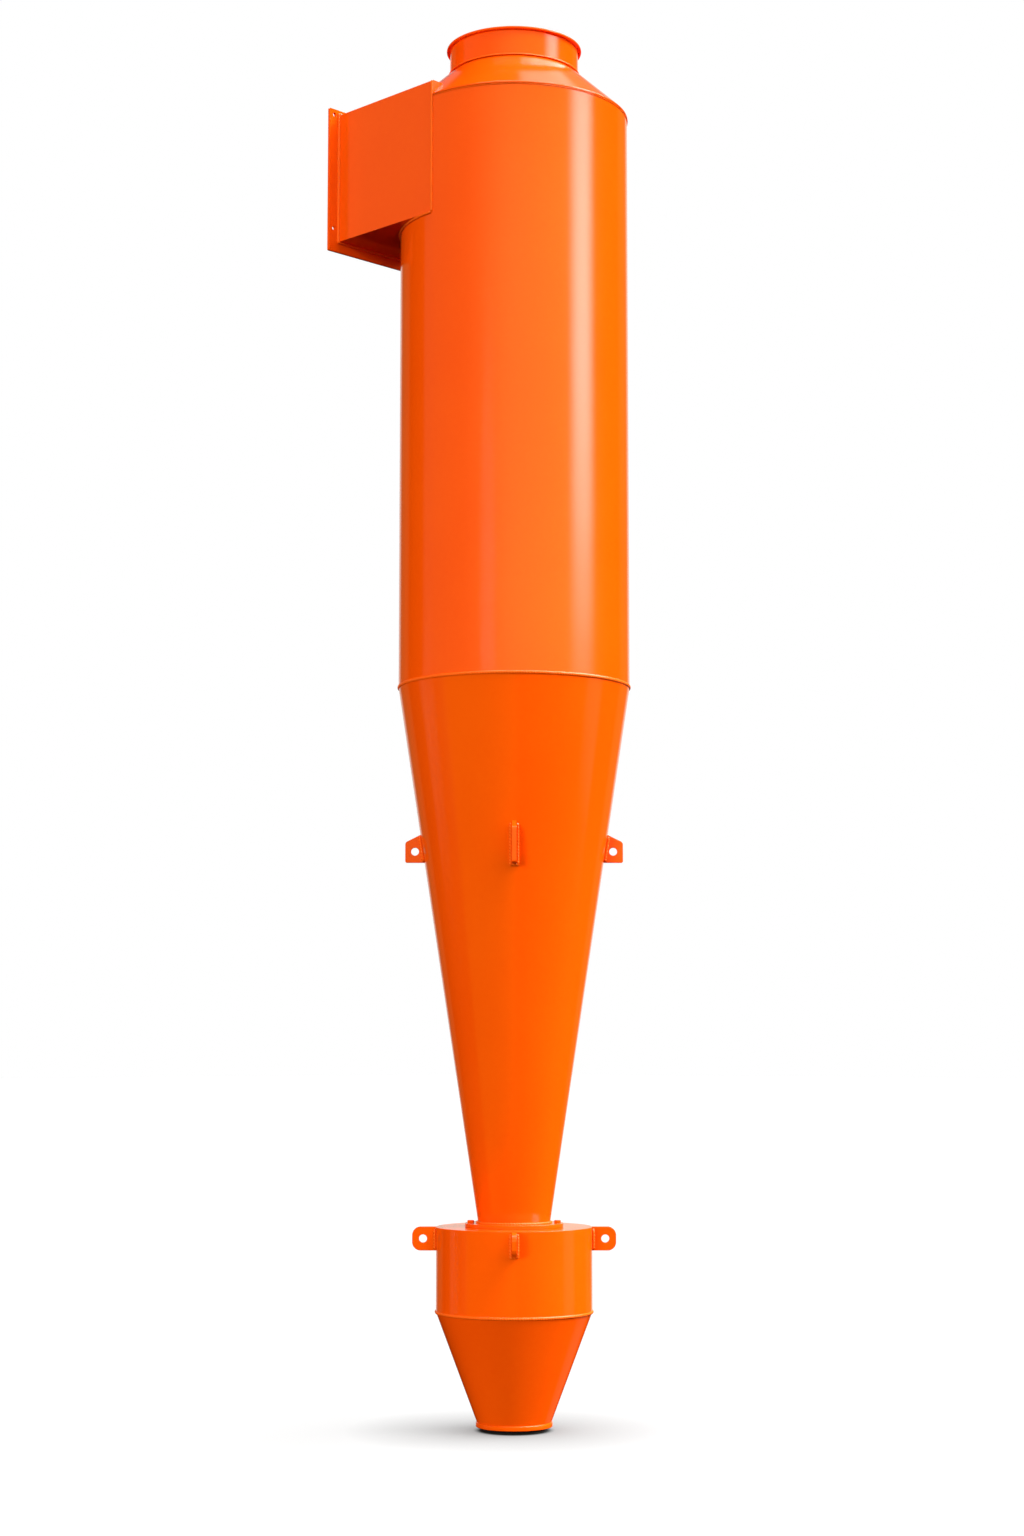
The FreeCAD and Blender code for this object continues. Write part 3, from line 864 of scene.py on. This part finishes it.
@dataclass
class Vessel(SubAssembly):
    """Barrel, roof cone and separation cone, with the seams between them."""

    sheet: float = 0.003
    lip_round: float = 0.003
    seam: WeldBead = WeldBead(radius=0.005, pitch=0.0056, depth=0.001)
    seam_sink: float = 0.002
    lip_seam: WeldBead = WeldBead(radius=0.0016, pitch=0.0036, depth=0.0004)
    lip_seam_up: float = 0.0004
    lip_seam_lean: float = -30.0

    def build(self) -> list[bpy.types.Object]:
        """Build the shells and their seams."""
        return [self.barrel(), self.roof(), self.cone(), self.roof_seam(), self.barrel_seam()]

    def barrel(self) -> bpy.types.Object:
        """Build the barrel with its opening into the duct."""
        extent = Extent.of("barrel")
        outer, inner = extent.radius, extent.radius - self.sheet
        corners = [
            Corner(inner, extent.low.z),
            Corner(outer, extent.low.z),
            Corner(outer, Extent.of("roof_seam").high.z),
            Corner(inner, extent.high.z),
        ]
        piece = new_object("barrel_turned", turned_mesh("barrel", corners))
        cut_box(piece, *self.inlet_gap())
        return self.dress(shaded(piece), Slot.SHELL, "barrel")

    def inlet_gap(self) -> tuple[Vector, Vector]:
        """Return the corners of the space inside the duct, past the barrel."""
        outer, inner = Extent.of("inlet_outer_wall"), Extent.of("inlet_inner_wall")
        low = Vector((-1.0, -1.0, outer.low.z))
        return low, Vector((0.0, inner.low.y, outer.high.z))

    def roof(self) -> bpy.types.Object:
        """Build the roof cone, open where the duct stands above its edge."""
        extent, pipe = Extent.of("roof_cone"), Extent.of("outlet_pipe")
        seam_top = Extent.of("roof_seam").high.z
        barrel = Extent.of("barrel")
        slope = (barrel.high.z - seam_top) / self.sheet
        drop = self.sheet * math.hypot(1.0, slope)
        lip = extent.low.z
        corners = [
            Corner(pipe.radius, extent.high.z - drop),
            Corner(extent.radius, lip, self.lip_round / 5),
            Corner(extent.radius, lip + drop, self.lip_round),
            Corner(pipe.radius, extent.high.z),
        ]
        piece = new_object("roof_cone_turned", turned_mesh("roof_cone", corners))
        low, high = self.inlet_gap()
        cut_box(piece, low, high)
        cut_box(piece, low, Vector((self.sheet, -barrel.radius, extent.high.z)))
        return self.dress(shaded(piece), Slot.SHELL, "roof_cone")

    def cone(self) -> bpy.types.Object:
        """Build the separation cone."""
        extent, flange = Extent.of("cone"), Extent.of("cone_flange_weld")
        foot = Corner(flange.radius - WELD_LEG, extent.low.z)
        corners = sheet_profile(foot, Corner(extent.radius, extent.high.z), self.sheet)
        return self.turned("cone", Slot.SHELL, corners)

    def roof_seam(self) -> bpy.types.Object:
        """Lay the bead under the roof's lip, from one side of the duct to the other."""
        barrel, gap = Extent.of("barrel").radius, self.inlet_gap()[1].y
        start = -math.degrees(math.acos(self.sheet / barrel))
        stop = 180.0 + math.degrees(math.asin(-gap / barrel))
        height = Extent.of("roof_seam").low.z + self.lip_seam_up
        run = ring_run(barrel, height, self.lip_seam_lean, start, stop)
        return self.welded("roof_seam", self.lip_seam, [run])

    def barrel_seam(self) -> bpy.types.Object:
        """Lay the bead between the barrel and the cone."""
        extent = Extent.of("cone")
        run = ring_run(extent.radius - self.seam_sink, extent.high.z, 0)
        return self.welded("barrel_seam", self.seam, [run])


@dataclass
class Inlet(SubAssembly):
    """Tangential duct, its end plate, its flange and its welds."""

    edge_round: float = 0.0012
    flange_round: float = 0.0009
    flange_corner: float = 0.0045
    frame_bead: WeldBead = WeldBead(radius=0.0042)
    body_bead: WeldBead = WeldBead(radius=0.0041)
    floor_bead: WeldBead = WeldBead(radius=0.004)
    bead_out: float = 0.0009

    @property
    def duct(self) -> Extent:
        """Extent of the duct's floor, which spans its whole width."""
        return Extent.of("inlet_bottom")

    @property
    def top(self) -> float:
        """Height of the duct's top face."""
        return Extent.of("inlet_top").high.z

    def build(self) -> list[bpy.types.Object]:
        """Build the duct, the flange and the welds."""
        pieces = [self.keep(node, Slot.SHELL) for node in ("inlet_outer_wall", "inlet_inner_wall")]
        for node in ("inlet_top", "inlet_bottom", "inlet_end_plate"):
            piece = softened(node, self.edge_round, self.on_corner)
            pieces.append(self.dress(piece, Slot.SHELL, node))
        for side in ("outer", "inner", "top", "bottom"):
            node = "inlet_flange_" + side
            piece = softened(node, self.flange_corner, self.on_flange_rim)
            pieces.append(self.dress(piece, Slot.FITTING, node))
        return pieces + self.welds()

    def on_corner(self, one: Vector, other: Vector) -> float:
        """Round the edges along the duct's outer corners."""
        middle = (one + other) / 2
        side = min(abs(middle.y - self.duct.low.y), abs(middle.y - self.duct.high.y))
        level = min(abs(middle.z - self.duct.low.z), abs(middle.z - self.top))
        return self.edge_round if side < 1e-4 and level < 1e-4 else 0.0

    def on_flange_rim(self, one: Vector, other: Vector) -> float:
        """Round the flange's rim a little and its four corners more."""
        outer, inner = Extent.of("inlet_flange_outer"), Extent.of("inlet_flange_inner")
        middle = (one + other) / 2
        side = min(abs(middle.y - outer.low.y), abs(middle.y - inner.high.y))
        level = min(abs(middle.z - outer.low.z), abs(middle.z - outer.high.z))
        if max(side, level) < 1e-4:
            return self.flange_corner
        return self.flange_round if min(side, level) < 1e-4 else 0.0

    def welds(self) -> list[bpy.types.Object]:
        """Lay the beads behind the flange, up the tangent line and under the floor."""
        back, out = Extent.of("inlet_flange_top").high.x + self.bead_out, self.bead_out
        low, high = self.duct.low, Vector((0.0, self.duct.high.y, self.top))
        points, outward = [], []
        for side, up in ((-1, -1), (1, -1), (1, 1), (-1, 1)):
            across, level = (high.y if side > 0 else low.y), (high.z if up > 0 else low.z)
            points.append(Vector((back, across + side * out, level + up * out)))
            outward.append((Vector((0, side, up)).normalized() + Vector((1, 0, 0))).normalized())
        rise = [Vector((0.0, low.y, level)) for level in (low.z, self.top)]
        radius = Extent.of("barrel").radius
        stop = 180.0 + math.degrees(math.asin(-high.y / radius))
        saddle = ring_run(radius + out, low.z - out, -45, 270.0, stop)
        return [
            self.welded("inlet_flange_weld", self.frame_bead, [framed(points, outward)]),
            self.welded("inlet_body_weld", self.body_bead, [Run(rise, [Vector((0, -1, 0))] * 2)]),
            self.welded("inlet_floor_weld", self.floor_bead, [saddle]),
        ]


def framed(corners: Sequence[Vector], outward: Sequence[Vector], steps: int = 40) -> Run:
    """Lay a closed run along straight sides.

    Args:
        corners: the frame's corners in order.
        outward: the direction that the bead faces at each corner.
        steps: points along each side.

    Returns:
        The run.
    """
    points, facing = [], []
    for k, corner in enumerate(corners):
        after = corners[(k + 1) % len(corners)]
        side = (outward[k] + outward[(k + 1) % len(corners)]).normalized()
        for step in range(steps):
            points.append(corner.lerp(after, step / steps))
            facing.append(side)
    return Run(points, facing, True)


def hex_bolt_tree() -> bpy.types.NodeTree:
    """Build the tree that stands a painted hexagon bolt on each point.

    Returns:
        The geometry node tree.
    """
    numbers = ("Across Corners", "Head Height", "Chamfer", "Shank Radius", "Shank Length")
    inputs = {"Places": "Geometry", **dict.fromkeys(numbers, "Float"), "Finish": "Material"}
    wiring = new_group("hex_bolt", "GeometryNodeTree", inputs, {"Bolts": "Geometry"})
    given = wiring.add("NodeGroupInput").outputs

    def bar(sides: int, radius: bpy.types.NodeSocket, depth: bpy.types.NodeSocket) -> bpy.types.Node:
        """Add a closed prism round the bolt's axis."""
        inputs = {"Vertices": sides, "Radius": radius, "Depth": depth}
        return wiring.add("GeometryNodeMeshCylinder", inputs, fill_type="NGON")

    def lifted(shape: bpy.types.NodeSocket, height: bpy.types.NodeSocket) -> bpy.types.NodeSocket:
        """Move a shape along Z."""
        move = wiring.add("ShaderNodeCombineXYZ", {"Z": height}).outputs[0]
        return wiring.add("GeometryNodeTransform", {"Geometry": shape, "Translation": move}).outputs[0]

    straight = wiring.math("SUBTRACT", given["Head Height"], given["Chamfer"])
    head = bar(6, wiring.math("DIVIDE", given["Across Corners"], 2.0), straight)
    top = {
        "Mesh": head.outputs["Mesh"],
        "Selection": head.outputs["Top"],
        "Offset Scale": given["Chamfer"],
        "Individual": False,
    }
    raised = wiring.add("GeometryNodeExtrudeMesh", top, mode="FACES").outputs
    narrow = {"Geometry": raised["Mesh"], "Selection": raised["Top"], "Scale": 0.84}
    narrowed = wiring.add("GeometryNodeScaleElements", narrow, domain="FACE").outputs[0]
    creased = {"Mesh": narrowed, "Level": 3, "Edge Crease": 0.72}
    soft = wiring.add("GeometryNodeSubdivisionSurface", creased).outputs[0]
    shank = bar(24, given["Shank Radius"], given["Shank Length"]).outputs["Mesh"]
    bolt = wiring.add("GeometryNodeJoinGeometry")
    half_down = wiring.math("DIVIDE", given["Shank Length"], -2.0)
    wiring.tree.links.new(lifted(soft, wiring.math("DIVIDE", straight, 2.0)), bolt.inputs[0])
    wiring.tree.links.new(lifted(shank, half_down), bolt.inputs[0])
    stood = {"Points": given["Places"], "Instance": bolt.outputs[0]}
    mesh = wiring.add("GeometryNodeInstanceOnPoints", stood).outputs[0]
    mesh = wiring.add("GeometryNodeRealizeInstances", {"Geometry": mesh}).outputs[0]
    painted = {"Geometry": mesh, "Material": given["Finish"]}
    wiring.add("NodeGroupOutput", {"Bolts": wiring.add("GeometryNodeSetMaterial", painted).outputs[0]})
    return wiring.tree


@dataclass
class FootJoint(SubAssembly):
    """Bolted flange under the cone, its bolts and nuts and its weld."""

    edge_round: float = 0.0012
    chamfer: float = 0.0012
    bolt_circle: float = 0.092
    shank_radius: float = 0.004
    bead: WeldBead = WeldBead(radius=0.004, pitch=0.0056, depth=0.001)
    bead_out: float = 0.001

    def build(self) -> list[bpy.types.Object]:
        """Build the flange, the bolts and the weld."""
        flange, weld = Extent.of("cone_flange"), Extent.of("cone_flange_weld")
        bore = Extent.of("discharge_ring").radius - BORE_INSET
        corners = ring_profile(bore, flange, self.edge_round / 2, self.edge_round)
        run = ring_run(weld.radius - WELD_LEG + self.bead_out, weld.low.z + self.bead_out, 45)
        return [
            self.turned("cone_flange", Slot.FITTING, corners),
            self.welded("cone_flange_weld", self.bead, [run]),
            self.bolts(),
            self.keep("cone_flange_nuts", Slot.FITTING),
        ]

    def bolts(self) -> bpy.types.Object:
        """Stand the two bolts in their holes."""
        extent = Extent.of("cone_flange_bolts")
        seat = Extent.of("cone_flange").high.z
        flats = 2 * (extent.high.y - self.bolt_circle * math.sin(math.pi / 4))
        corners = flats / math.cos(math.pi / 6)
        across = extent.high.x - corners / 2
        places = [(across, across, seat), (-across, -across, seat)]
        mesh = bpy.data.meshes.new("bolt_places")
        mesh.from_pydata(places, [], [])
        piece = new_object("cone_flange_bolts_hex", mesh)
        values = {
            "Across Corners": corners,
            "Head Height": extent.high.z - seat,
            "Chamfer": self.chamfer,
            "Shank Radius": self.shank_radius,
            "Shank Length": seat - extent.low.z,
            "Finish": self.finishes[Slot.FITTING],
        }
        grown(piece, "hex_bolt", values)
        return self.dress(shaded(piece, 50.0), Slot.FITTING, "cone_flange_bolts")


@dataclass
class Hopper(SubAssembly):
    """Dust hopper: lid, shell, cone and discharge ring."""

    sheet: float = 0.003
    edge_round: float = 0.0011
    ring_wall: float = 0.006
    ring_round: float = 0.0026
    ring_lap: float = 0.002
    seam: WeldBead = WeldBead(radius=0.0046, pitch=0.0056, depth=0.001)
    seam_sink: float = 0.0018

    def build(self) -> list[bpy.types.Object]:
        """Build the hopper from its lid down."""
        names = ("hopper_lid", "hopper_shell", "hopper_cone", "discharge_ring")
        lid, shell, cone, ring = (Extent.of(name) for name in names)
        shell_foot, shell_head = (Corner(shell.radius, z) for z in (shell.low.z, shell.high.z))
        foot = Corner(ring.radius - self.ring_lap, cone.low.z)
        round_both = (self.ring_round, self.ring_round)
        profiles = {
            "hopper_lid": ring_profile(ring.radius - BORE_INSET, lid, over=self.edge_round),
            "hopper_shell": sheet_profile(shell_foot, shell_head, self.sheet),
            "hopper_cone": sheet_profile(foot, Corner(cone.radius, cone.high.z), self.sheet),
            "discharge_ring": ring_profile(ring.radius - self.ring_wall, ring, *round_both),
        }
        pieces = []
        for node, corners in profiles.items():
            slot = Slot.FITTING if node == "discharge_ring" else Slot.SHELL
            pieces.append(self.turned(node, slot, corners))
        run = ring_run(shell.radius - self.seam_sink, shell.low.z, 0)
        return pieces + [self.welded("hopper_seam", self.seam, [run])]


@dataclass
class Lugs(SubAssembly):
    """Eight plate lugs and the fillets that hold them."""

    sides: dict[str, float] = field(
        default_factory=lambda: {"right": 45.0, "back": 135.0, "left": 225.0, "front": 315.0}
    )
    plate: float = 0.01
    edge_round: float = 0.0011
    corner: float = 0.0042
    bead: WeldBead = WeldBead(radius=0.0046, pitch=0.0065, depth=0.0012, wander=1.0)
    bead_out: float = 0.0018
    bead_steps: int = 6

    @property
    def beside(self) -> float:
        """How far a bead lies from the middle of its plate."""
        return self.plate / 2 + self.bead_out

    def build(self) -> list[bpy.types.Object]:
        """Build the lugs and their welds on the cone and on the hopper."""
        pieces = []
        for kind in ("cone", "hopper"):
            runs = []
            for side, angle in self.sides.items():
                node = f"{kind}_lug_{side}"
                pieces.append(self.lug(kind, node))
                runs += self.weld_runs(kind, node, angle)
            pieces.append(self.welded(f"{kind}_lug_welds", self.bead, runs))
        return pieces

    def wall_radius(self, kind: str, height: float) -> float:
        """Return the outer radius of the wall behind a lug at one height."""
        if kind == "hopper":
            return Extent.of("hopper_shell").radius
        cone, foot = Extent.of("cone"), Extent.of("cone_flange_weld").radius - WELD_LEG
        share = (height - cone.low.z) / (cone.high.z - cone.low.z)
        return foot + (cone.radius - foot) * share

    def lug(self, kind: str, node: str) -> bpy.types.Object:
        """Round a lug's edges and its free corners, except where it meets the wall."""

        def free(one: Vector, other: Vector) -> float:
            """Round an edge that stands off the wall, and more where it crosses the plate."""
            off = [end.xy.length - self.wall_radius(kind, end.z) > 0.001 for end in (one, other)]
            crossing = abs((one - other).length - self.plate) < 1e-4
            if all(off) and crossing and abs(one.z - other.z) < 1e-5:
                return self.corner
            return self.edge_round if any(off) else 0.0

        return self.dress(softened(node, self.corner, free), Slot.FITTING, node)

    def weld_runs(self, kind: str, node: str, angle: float) -> list[Run]:
        """Lay the runs of one lug along its wall.

        A side lug has a run down each face; a front or back lug is welded round its foot too.

        Args:
            kind: "cone" or "hopper", the wall that carries the lug.
            node: the lug's CAD node.
            angle: the lug's place about the axis, in degrees.

        Returns:
            The open runs.
        """
        extent, beside = Extent.of(node), self.beside
        if node.endswith(("front", "back")):
            low, high = extent.low.z - self.bead_out, extent.high.z - 0.005
            paths = [[(-beside, high), (-beside, low), (beside, low), (beside, high)]]
        else:
            low, high = extent.low.z + 0.002, extent.high.z - 0.004
            paths = [[(side, high), (side, low)] for side in (-beside, beside)]
        return [self.wall_run(kind, path, math.radians(angle)) for path in paths]

    def wall_run(self, kind: str, path: Sequence[tuple[float, float]], turn: float) -> Run:
        """Lay one open run on a wall.

        Args:
            kind: "cone" or "hopper".
            path: corners of the run, sideways from the lug's middle and in height.
            turn: the lug's place about the axis.

        Returns:
            The run, facing away from the wall and from the lug.
        """
        spoke = Vector((math.cos(turn), math.sin(turn), 0.0))
        across = Vector((-math.sin(turn), math.cos(turn), 0.0))
        points, outward = [], []
        for (one, start), (other, stop) in zip(path, path[1:]):
            last = (other, stop) == path[-1]
            for step in range(self.bead_steps + last):
                share = step / self.bead_steps
                aside, height = one + (other - one) * share, start + (stop - start) * share
                reach = self.wall_radius(kind, height) + self.bead_out
                points.append(spoke * reach + across * aside + Vector((0, 0, height)))
                outward.append((spoke + across * (aside / self.beside)).normalized())
        return Run(points, outward)


# --------------------------------------------------------------------- studio


@dataclass(frozen=True)
class Softbox:
    """A lit window of the studio, seen from the vessel; angles in degrees.

    The azimuth is 0 behind the camera's place and grows to the camera's right.
    """

    azimuth: float
    half_width: float
    low: float
    high: float
    level: float
    side_fade: float = 8.0
    end_fade: float = 6.0
    tint: tuple[float, float, float, float] = (1.0, 1.0, 1.0, 1.0)


@dataclass(frozen=True)
class Fill:
    """A far, broad lamp that lifts the paint's colour and is not mirrored in its gloss.

    The level is the light it brings to a surface that faces it, over pi.
    """

    azimuth: float
    elevation: float
    spread: float
    level: float
    tint: tuple[float, float, float] = (1.0, 1.0, 1.0)


@dataclass
class Studio:
    """Camera, floor and the lit walls of a plain pale studio."""

    camera_azimuth: float = 45.0
    camera_distance: float = 5.626
    camera_height: float = 0.7832
    camera_aside: float = -0.0045
    pitch: float = 6.18
    lens: float = 61.41
    floor_size: float = 120.0
    floor_drop: float = 0.008
    floor_glow: float = 0.86
    floor_grey: float = 0.07
    # reach of the painted shade that ambient occlusion puts on the glowing floor
    shade_reach: float = 0.27
    # radius and fade of the painted shadow disc under the foot
    painted_shadow_radius: float = 0.088
    painted_shadow_fade: float = 0.018
    boxes: tuple[Softbox, ...] = (
        Softbox(88, 42, 40, 58, 10.0, 6, 4),
        Softbox(0, 180, 74, 90, 3.4, 1, 5),
        Softbox(44, 18, 50, 66, 8.0, 12, 6),
        Softbox(-20, 30, 50, 70, 0.9, 12, 6),
        Softbox(72, 3, 15, 19, 7.6, 16, 9),
        Softbox(-20, 80, 3, 34, 0.16, 4, 3, (1.5, 1.3, 1.0, 1.0)),
        Softbox(28, 26, 9, 18, 0.35, 56, 6, (4.6, 3.6, 1.0, 1.0)),
        Softbox(-36, 38, -18, 3, 0.4, 2, 3, (1.0, 0.9, 0.03, 1.0)),
        Softbox(-78, 3, -8, 0, 0.07, 5, 3, (1.8, 1.4, 0.6, 1.0)),
        Softbox(-104, 3, -5.8, 2, 0.15, 3, 1, (1.9, 1.4, 0.8, 1.0)),
        Softbox(88, 7, -6, -3, 0.26, 6, 1, (1.8, 1.4, 1.0, 1.0)),
        Softbox(156, 17, 52, 64, 1.1, 6, 6),
        Softbox(150, 25, 30, 50, 0.2, 8, 6),
        Softbox(-170, 9, 30, 42, 0.22, 4, 4),
        Softbox(142, 18, -34, -20, 0.12, 8, 5, (1.6, 1.3, 0.9, 1.0)),
        Softbox(180, 20, -6, 26, 0.6, 5, 5),
        Softbox(180, 46, -6, 22, 0.15, 6, 4, (1.4, 1.0, 0.3, 1.0)),
    )
    fills: tuple[Fill, ...] = (
        Fill(-95, 0, 16, 0.28, (1.0, 0.84, 0.8)),
        Fill(-26, 8, 14, 0.64),
        Fill(76, 30, 24, 0.72),
        Fill(108, 36, 26, 1.2),
    )

    def build(self) -> None:
        """Set up the colour view, the camera, the floor, the lamps and the lit world."""
        bpy.context.scene.view_settings.view_transform = "Standard"
        self.camera()
        self.floor()
        for fill in self.fills:
            self.lamp(fill)
        self.world()

    def camera(self) -> None:
        """Stand the camera where it sees the vessel from a little below its middle."""
        turn = math.radians(self.camera_azimuth)
        back = Vector((math.sin(turn), -math.cos(turn), 0.0))
        right = Vector((math.cos(turn), math.sin(turn), 0.0))
        data = bpy.data.cameras.new("camera")
        data.lens, data.sensor_width = self.lens, 36.0
        eye = bpy.data.objects.new("camera", data)
        eye.location = back * self.camera_distance + right * self.camera_aside
        eye.location.z = self.camera_height
        eye.rotation_euler = (math.radians(90.0 + self.pitch), 0.0, turn)
        bpy.context.scene.collection.objects.link(eye)
        bpy.context.scene.camera = eye

    def floor(self) -> None:
        """Lay the pale floor, which glows evenly, with painted shade from ambient occlusion and a painted
        shadow disc under the foot, and throws no light back.
        """
        mesh = bpy.data.meshes.new("floor")
        half, level = self.floor_size / 2, -self.floor_drop
        corners = [(-half, -half, level), (half, -half, level), (half, half, level), (-half, half, level)]
        mesh.from_pydata(corners, [], [(0, 1, 2, 3)])
        floor = new_object("floor", mesh)
        made = bpy.data.materials.new("pale_floor")
        made.use_nodes = True
        wiring = Wiring(made.node_tree)
        # painted shade: the floor's glow is darkened by ambient occlusion round the vessel, not by the
        # lamps
        shade = wiring.add("ShaderNodeAmbientOcclusion", {"Distance": self.shade_reach}, samples=24)
        place = wiring.add("ShaderNodeTexCoord").outputs["Object"]
        away = wiring.vector("LENGTH", place)
        # painted shadow: the glow goes dark within a disc round the axis under the foot
        clear = wiring.ramp(away, self.painted_shadow_radius - self.painted_shadow_fade, self.painted_shadow_radius)
        glow_with_painted_shade = wiring.vector("SCALE", shade.outputs["Color"], clear)
        shader = made.node_tree.nodes["Principled BSDF"]
        made.node_tree.links.new(glow_with_painted_shade, shader.inputs["Emission Color"])
        shader.inputs["Emission Strength"].default_value = self.floor_glow
        shader.inputs["Base Color"].default_value = (self.floor_grey,) * 3 + (1.0,)
        shader.inputs["Roughness"].default_value = 1.0
        shader.inputs["Specular IOR Level"].default_value = 0.0
        mesh.materials.append(made)
        floor.visible_diffuse = floor.visible_glossy = floor.visible_shadow = False

    def lamp(self, fill: Fill) -> None:
        """Hang one broad lamp that no gloss mirrors."""
        data = bpy.data.lights.new("fill", "SUN")
        data.energy = fill.level * math.pi
        data.color = fill.tint
        data.angle = math.radians(fill.spread)
        lamp = bpy.data.objects.new("fill", data)
        turn = math.radians(self.camera_azimuth + fill.azimuth - 90.0)
        up = math.radians(fill.elevation)
        towards = Vector((math.cos(turn) * math.cos(up), math.sin(turn) * math.cos(up), math.sin(up)))
        lamp.rotation_euler = towards.to_track_quat("Z", "Y").to_euler()
        lamp.visible_glossy = False
        bpy.context.scene.collection.objects.link(lamp)

    def softbox_group(self) -> bpy.types.NodeTree:
        """Build the group that lights one window of the world.

        Returns:
            A group from a direction and the window's angles to its light.
        """
        angles = ("Azimuth", "Elevation", "Middle", "Half Width", "Low", "High", "Side Fade", "End Fade")
        inputs = {**dict.fromkeys(angles + ("Level",), "Float"), "Tint": "Color"}
        wiring = new_group("softbox", "ShaderNodeTree", inputs, {"Light": "Color"})
        given = wiring.add("NodeGroupInput").outputs
        aside = wiring.math("SUBTRACT", given["Azimuth"], given["Middle"])
        aside = wiring.math("ABSOLUTE", wiring.math("WRAP", aside, 180.0, -180.0))
        edge = wiring.math("ADD", given["Half Width"], given["Side Fade"])
        across = wiring.ramp(aside, edge, given["Half Width"])
        under = wiring.math("SUBTRACT", given["Low"], given["End Fade"])
        over = wiring.math("ADD", given["High"], given["End Fade"])
        up = wiring.ramp(given["Elevation"], under, given["Low"])
        down = wiring.ramp(given["Elevation"], over, given["High"])
        mask = wiring.math("MULTIPLY", across, wiring.math("MULTIPLY", up, down))
        level = wiring.math("MULTIPLY", mask, given["Level"])
        wiring.add("NodeGroupOutput", {"Light": wiring.vector("SCALE", given["Tint"], level)})
        return wiring.tree

    def world(self) -> None:
        """Light the world with its windows and show it white to the camera."""
        group = self.softbox_group()
        world = bpy.data.worlds.new("studio")
        world.use_nodes = True
        bpy.context.scene.world = world
        wiring = Wiring(world.node_tree)
        way = wiring.add("ShaderNodeTexCoord").outputs["Generated"]
        turn = math.radians(self.camera_azimuth)

        back = wiring.vector("DOT_PRODUCT", way, (math.sin(turn), -math.cos(turn), 0.0))
        right = wiring.vector("DOT_PRODUCT", way, (math.cos(turn), math.sin(turn), 0.0))
        up = wiring.vector("DOT_PRODUCT", way, (0.0, 0.0, 1.0))
        azimuth = wiring.math("DEGREES", wiring.math("ARCTAN2", right, back))
        elevation = wiring.math("DEGREES", wiring.math("ARCSINE", up))
        total = None
        for box in self.boxes:
            inputs = {
                "Azimuth": azimuth,
                "Elevation": elevation,
                "Middle": box.azimuth,
                "Half Width": box.half_width,
                "Low": box.low,
                "High": box.high,
                "Side Fade": box.side_fade,
                "End Fade": box.end_fade,
                "Level": box.level,
                "Tint": box.tint,
            }
            lit = wiring.add("ShaderNodeGroup", inputs, node_tree=group).outputs[0]
            total = wiring.vector("ADD", total, lit) if total else lit
        nodes = world.node_tree.nodes
        lights = nodes["Background"]
        world.node_tree.links.new(total, lights.inputs["Color"])
        seen = wiring.add("ShaderNodeBackground", {"Color": (1.0, 1.0, 1.0, 1.0)})
        ray = wiring.add("ShaderNodeLightPath").outputs["Is Camera Ray"]
        mixed = wiring.add("ShaderNodeMixShader", {0: ray, 1: lights.outputs[0], 2: seen.outputs[0]})
        world.node_tree.links.new(mixed.outputs[0], nodes["World Output"].inputs["Surface"])


# ----------------------------------------------------------------------- main


def clear_scene() -> None:
    """Remove what a new file starts with."""
    for item in list(bpy.data.objects):
        bpy.data.objects.remove(item)


def main() -> None:
    """Build the separator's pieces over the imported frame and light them."""
    logging.basicConfig(level=logging.INFO, format="%(name)s: %(message)s")
    clear_scene()
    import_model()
    finishes = Palette().materials()
    weld_bead_tree()
    hex_bolt_tree()
    for part in (Outlet, Vessel, Inlet, FootJoint, Hopper, Lugs):
        pieces = part(finishes).build()
        faces = sum(len(piece.data.polygons) for piece in pieces)
        LOG.info("%s: %d pieces, %d faces", part.__name__, len(pieces), faces)
    Studio().build()


if __name__ == "__main__":
    main()
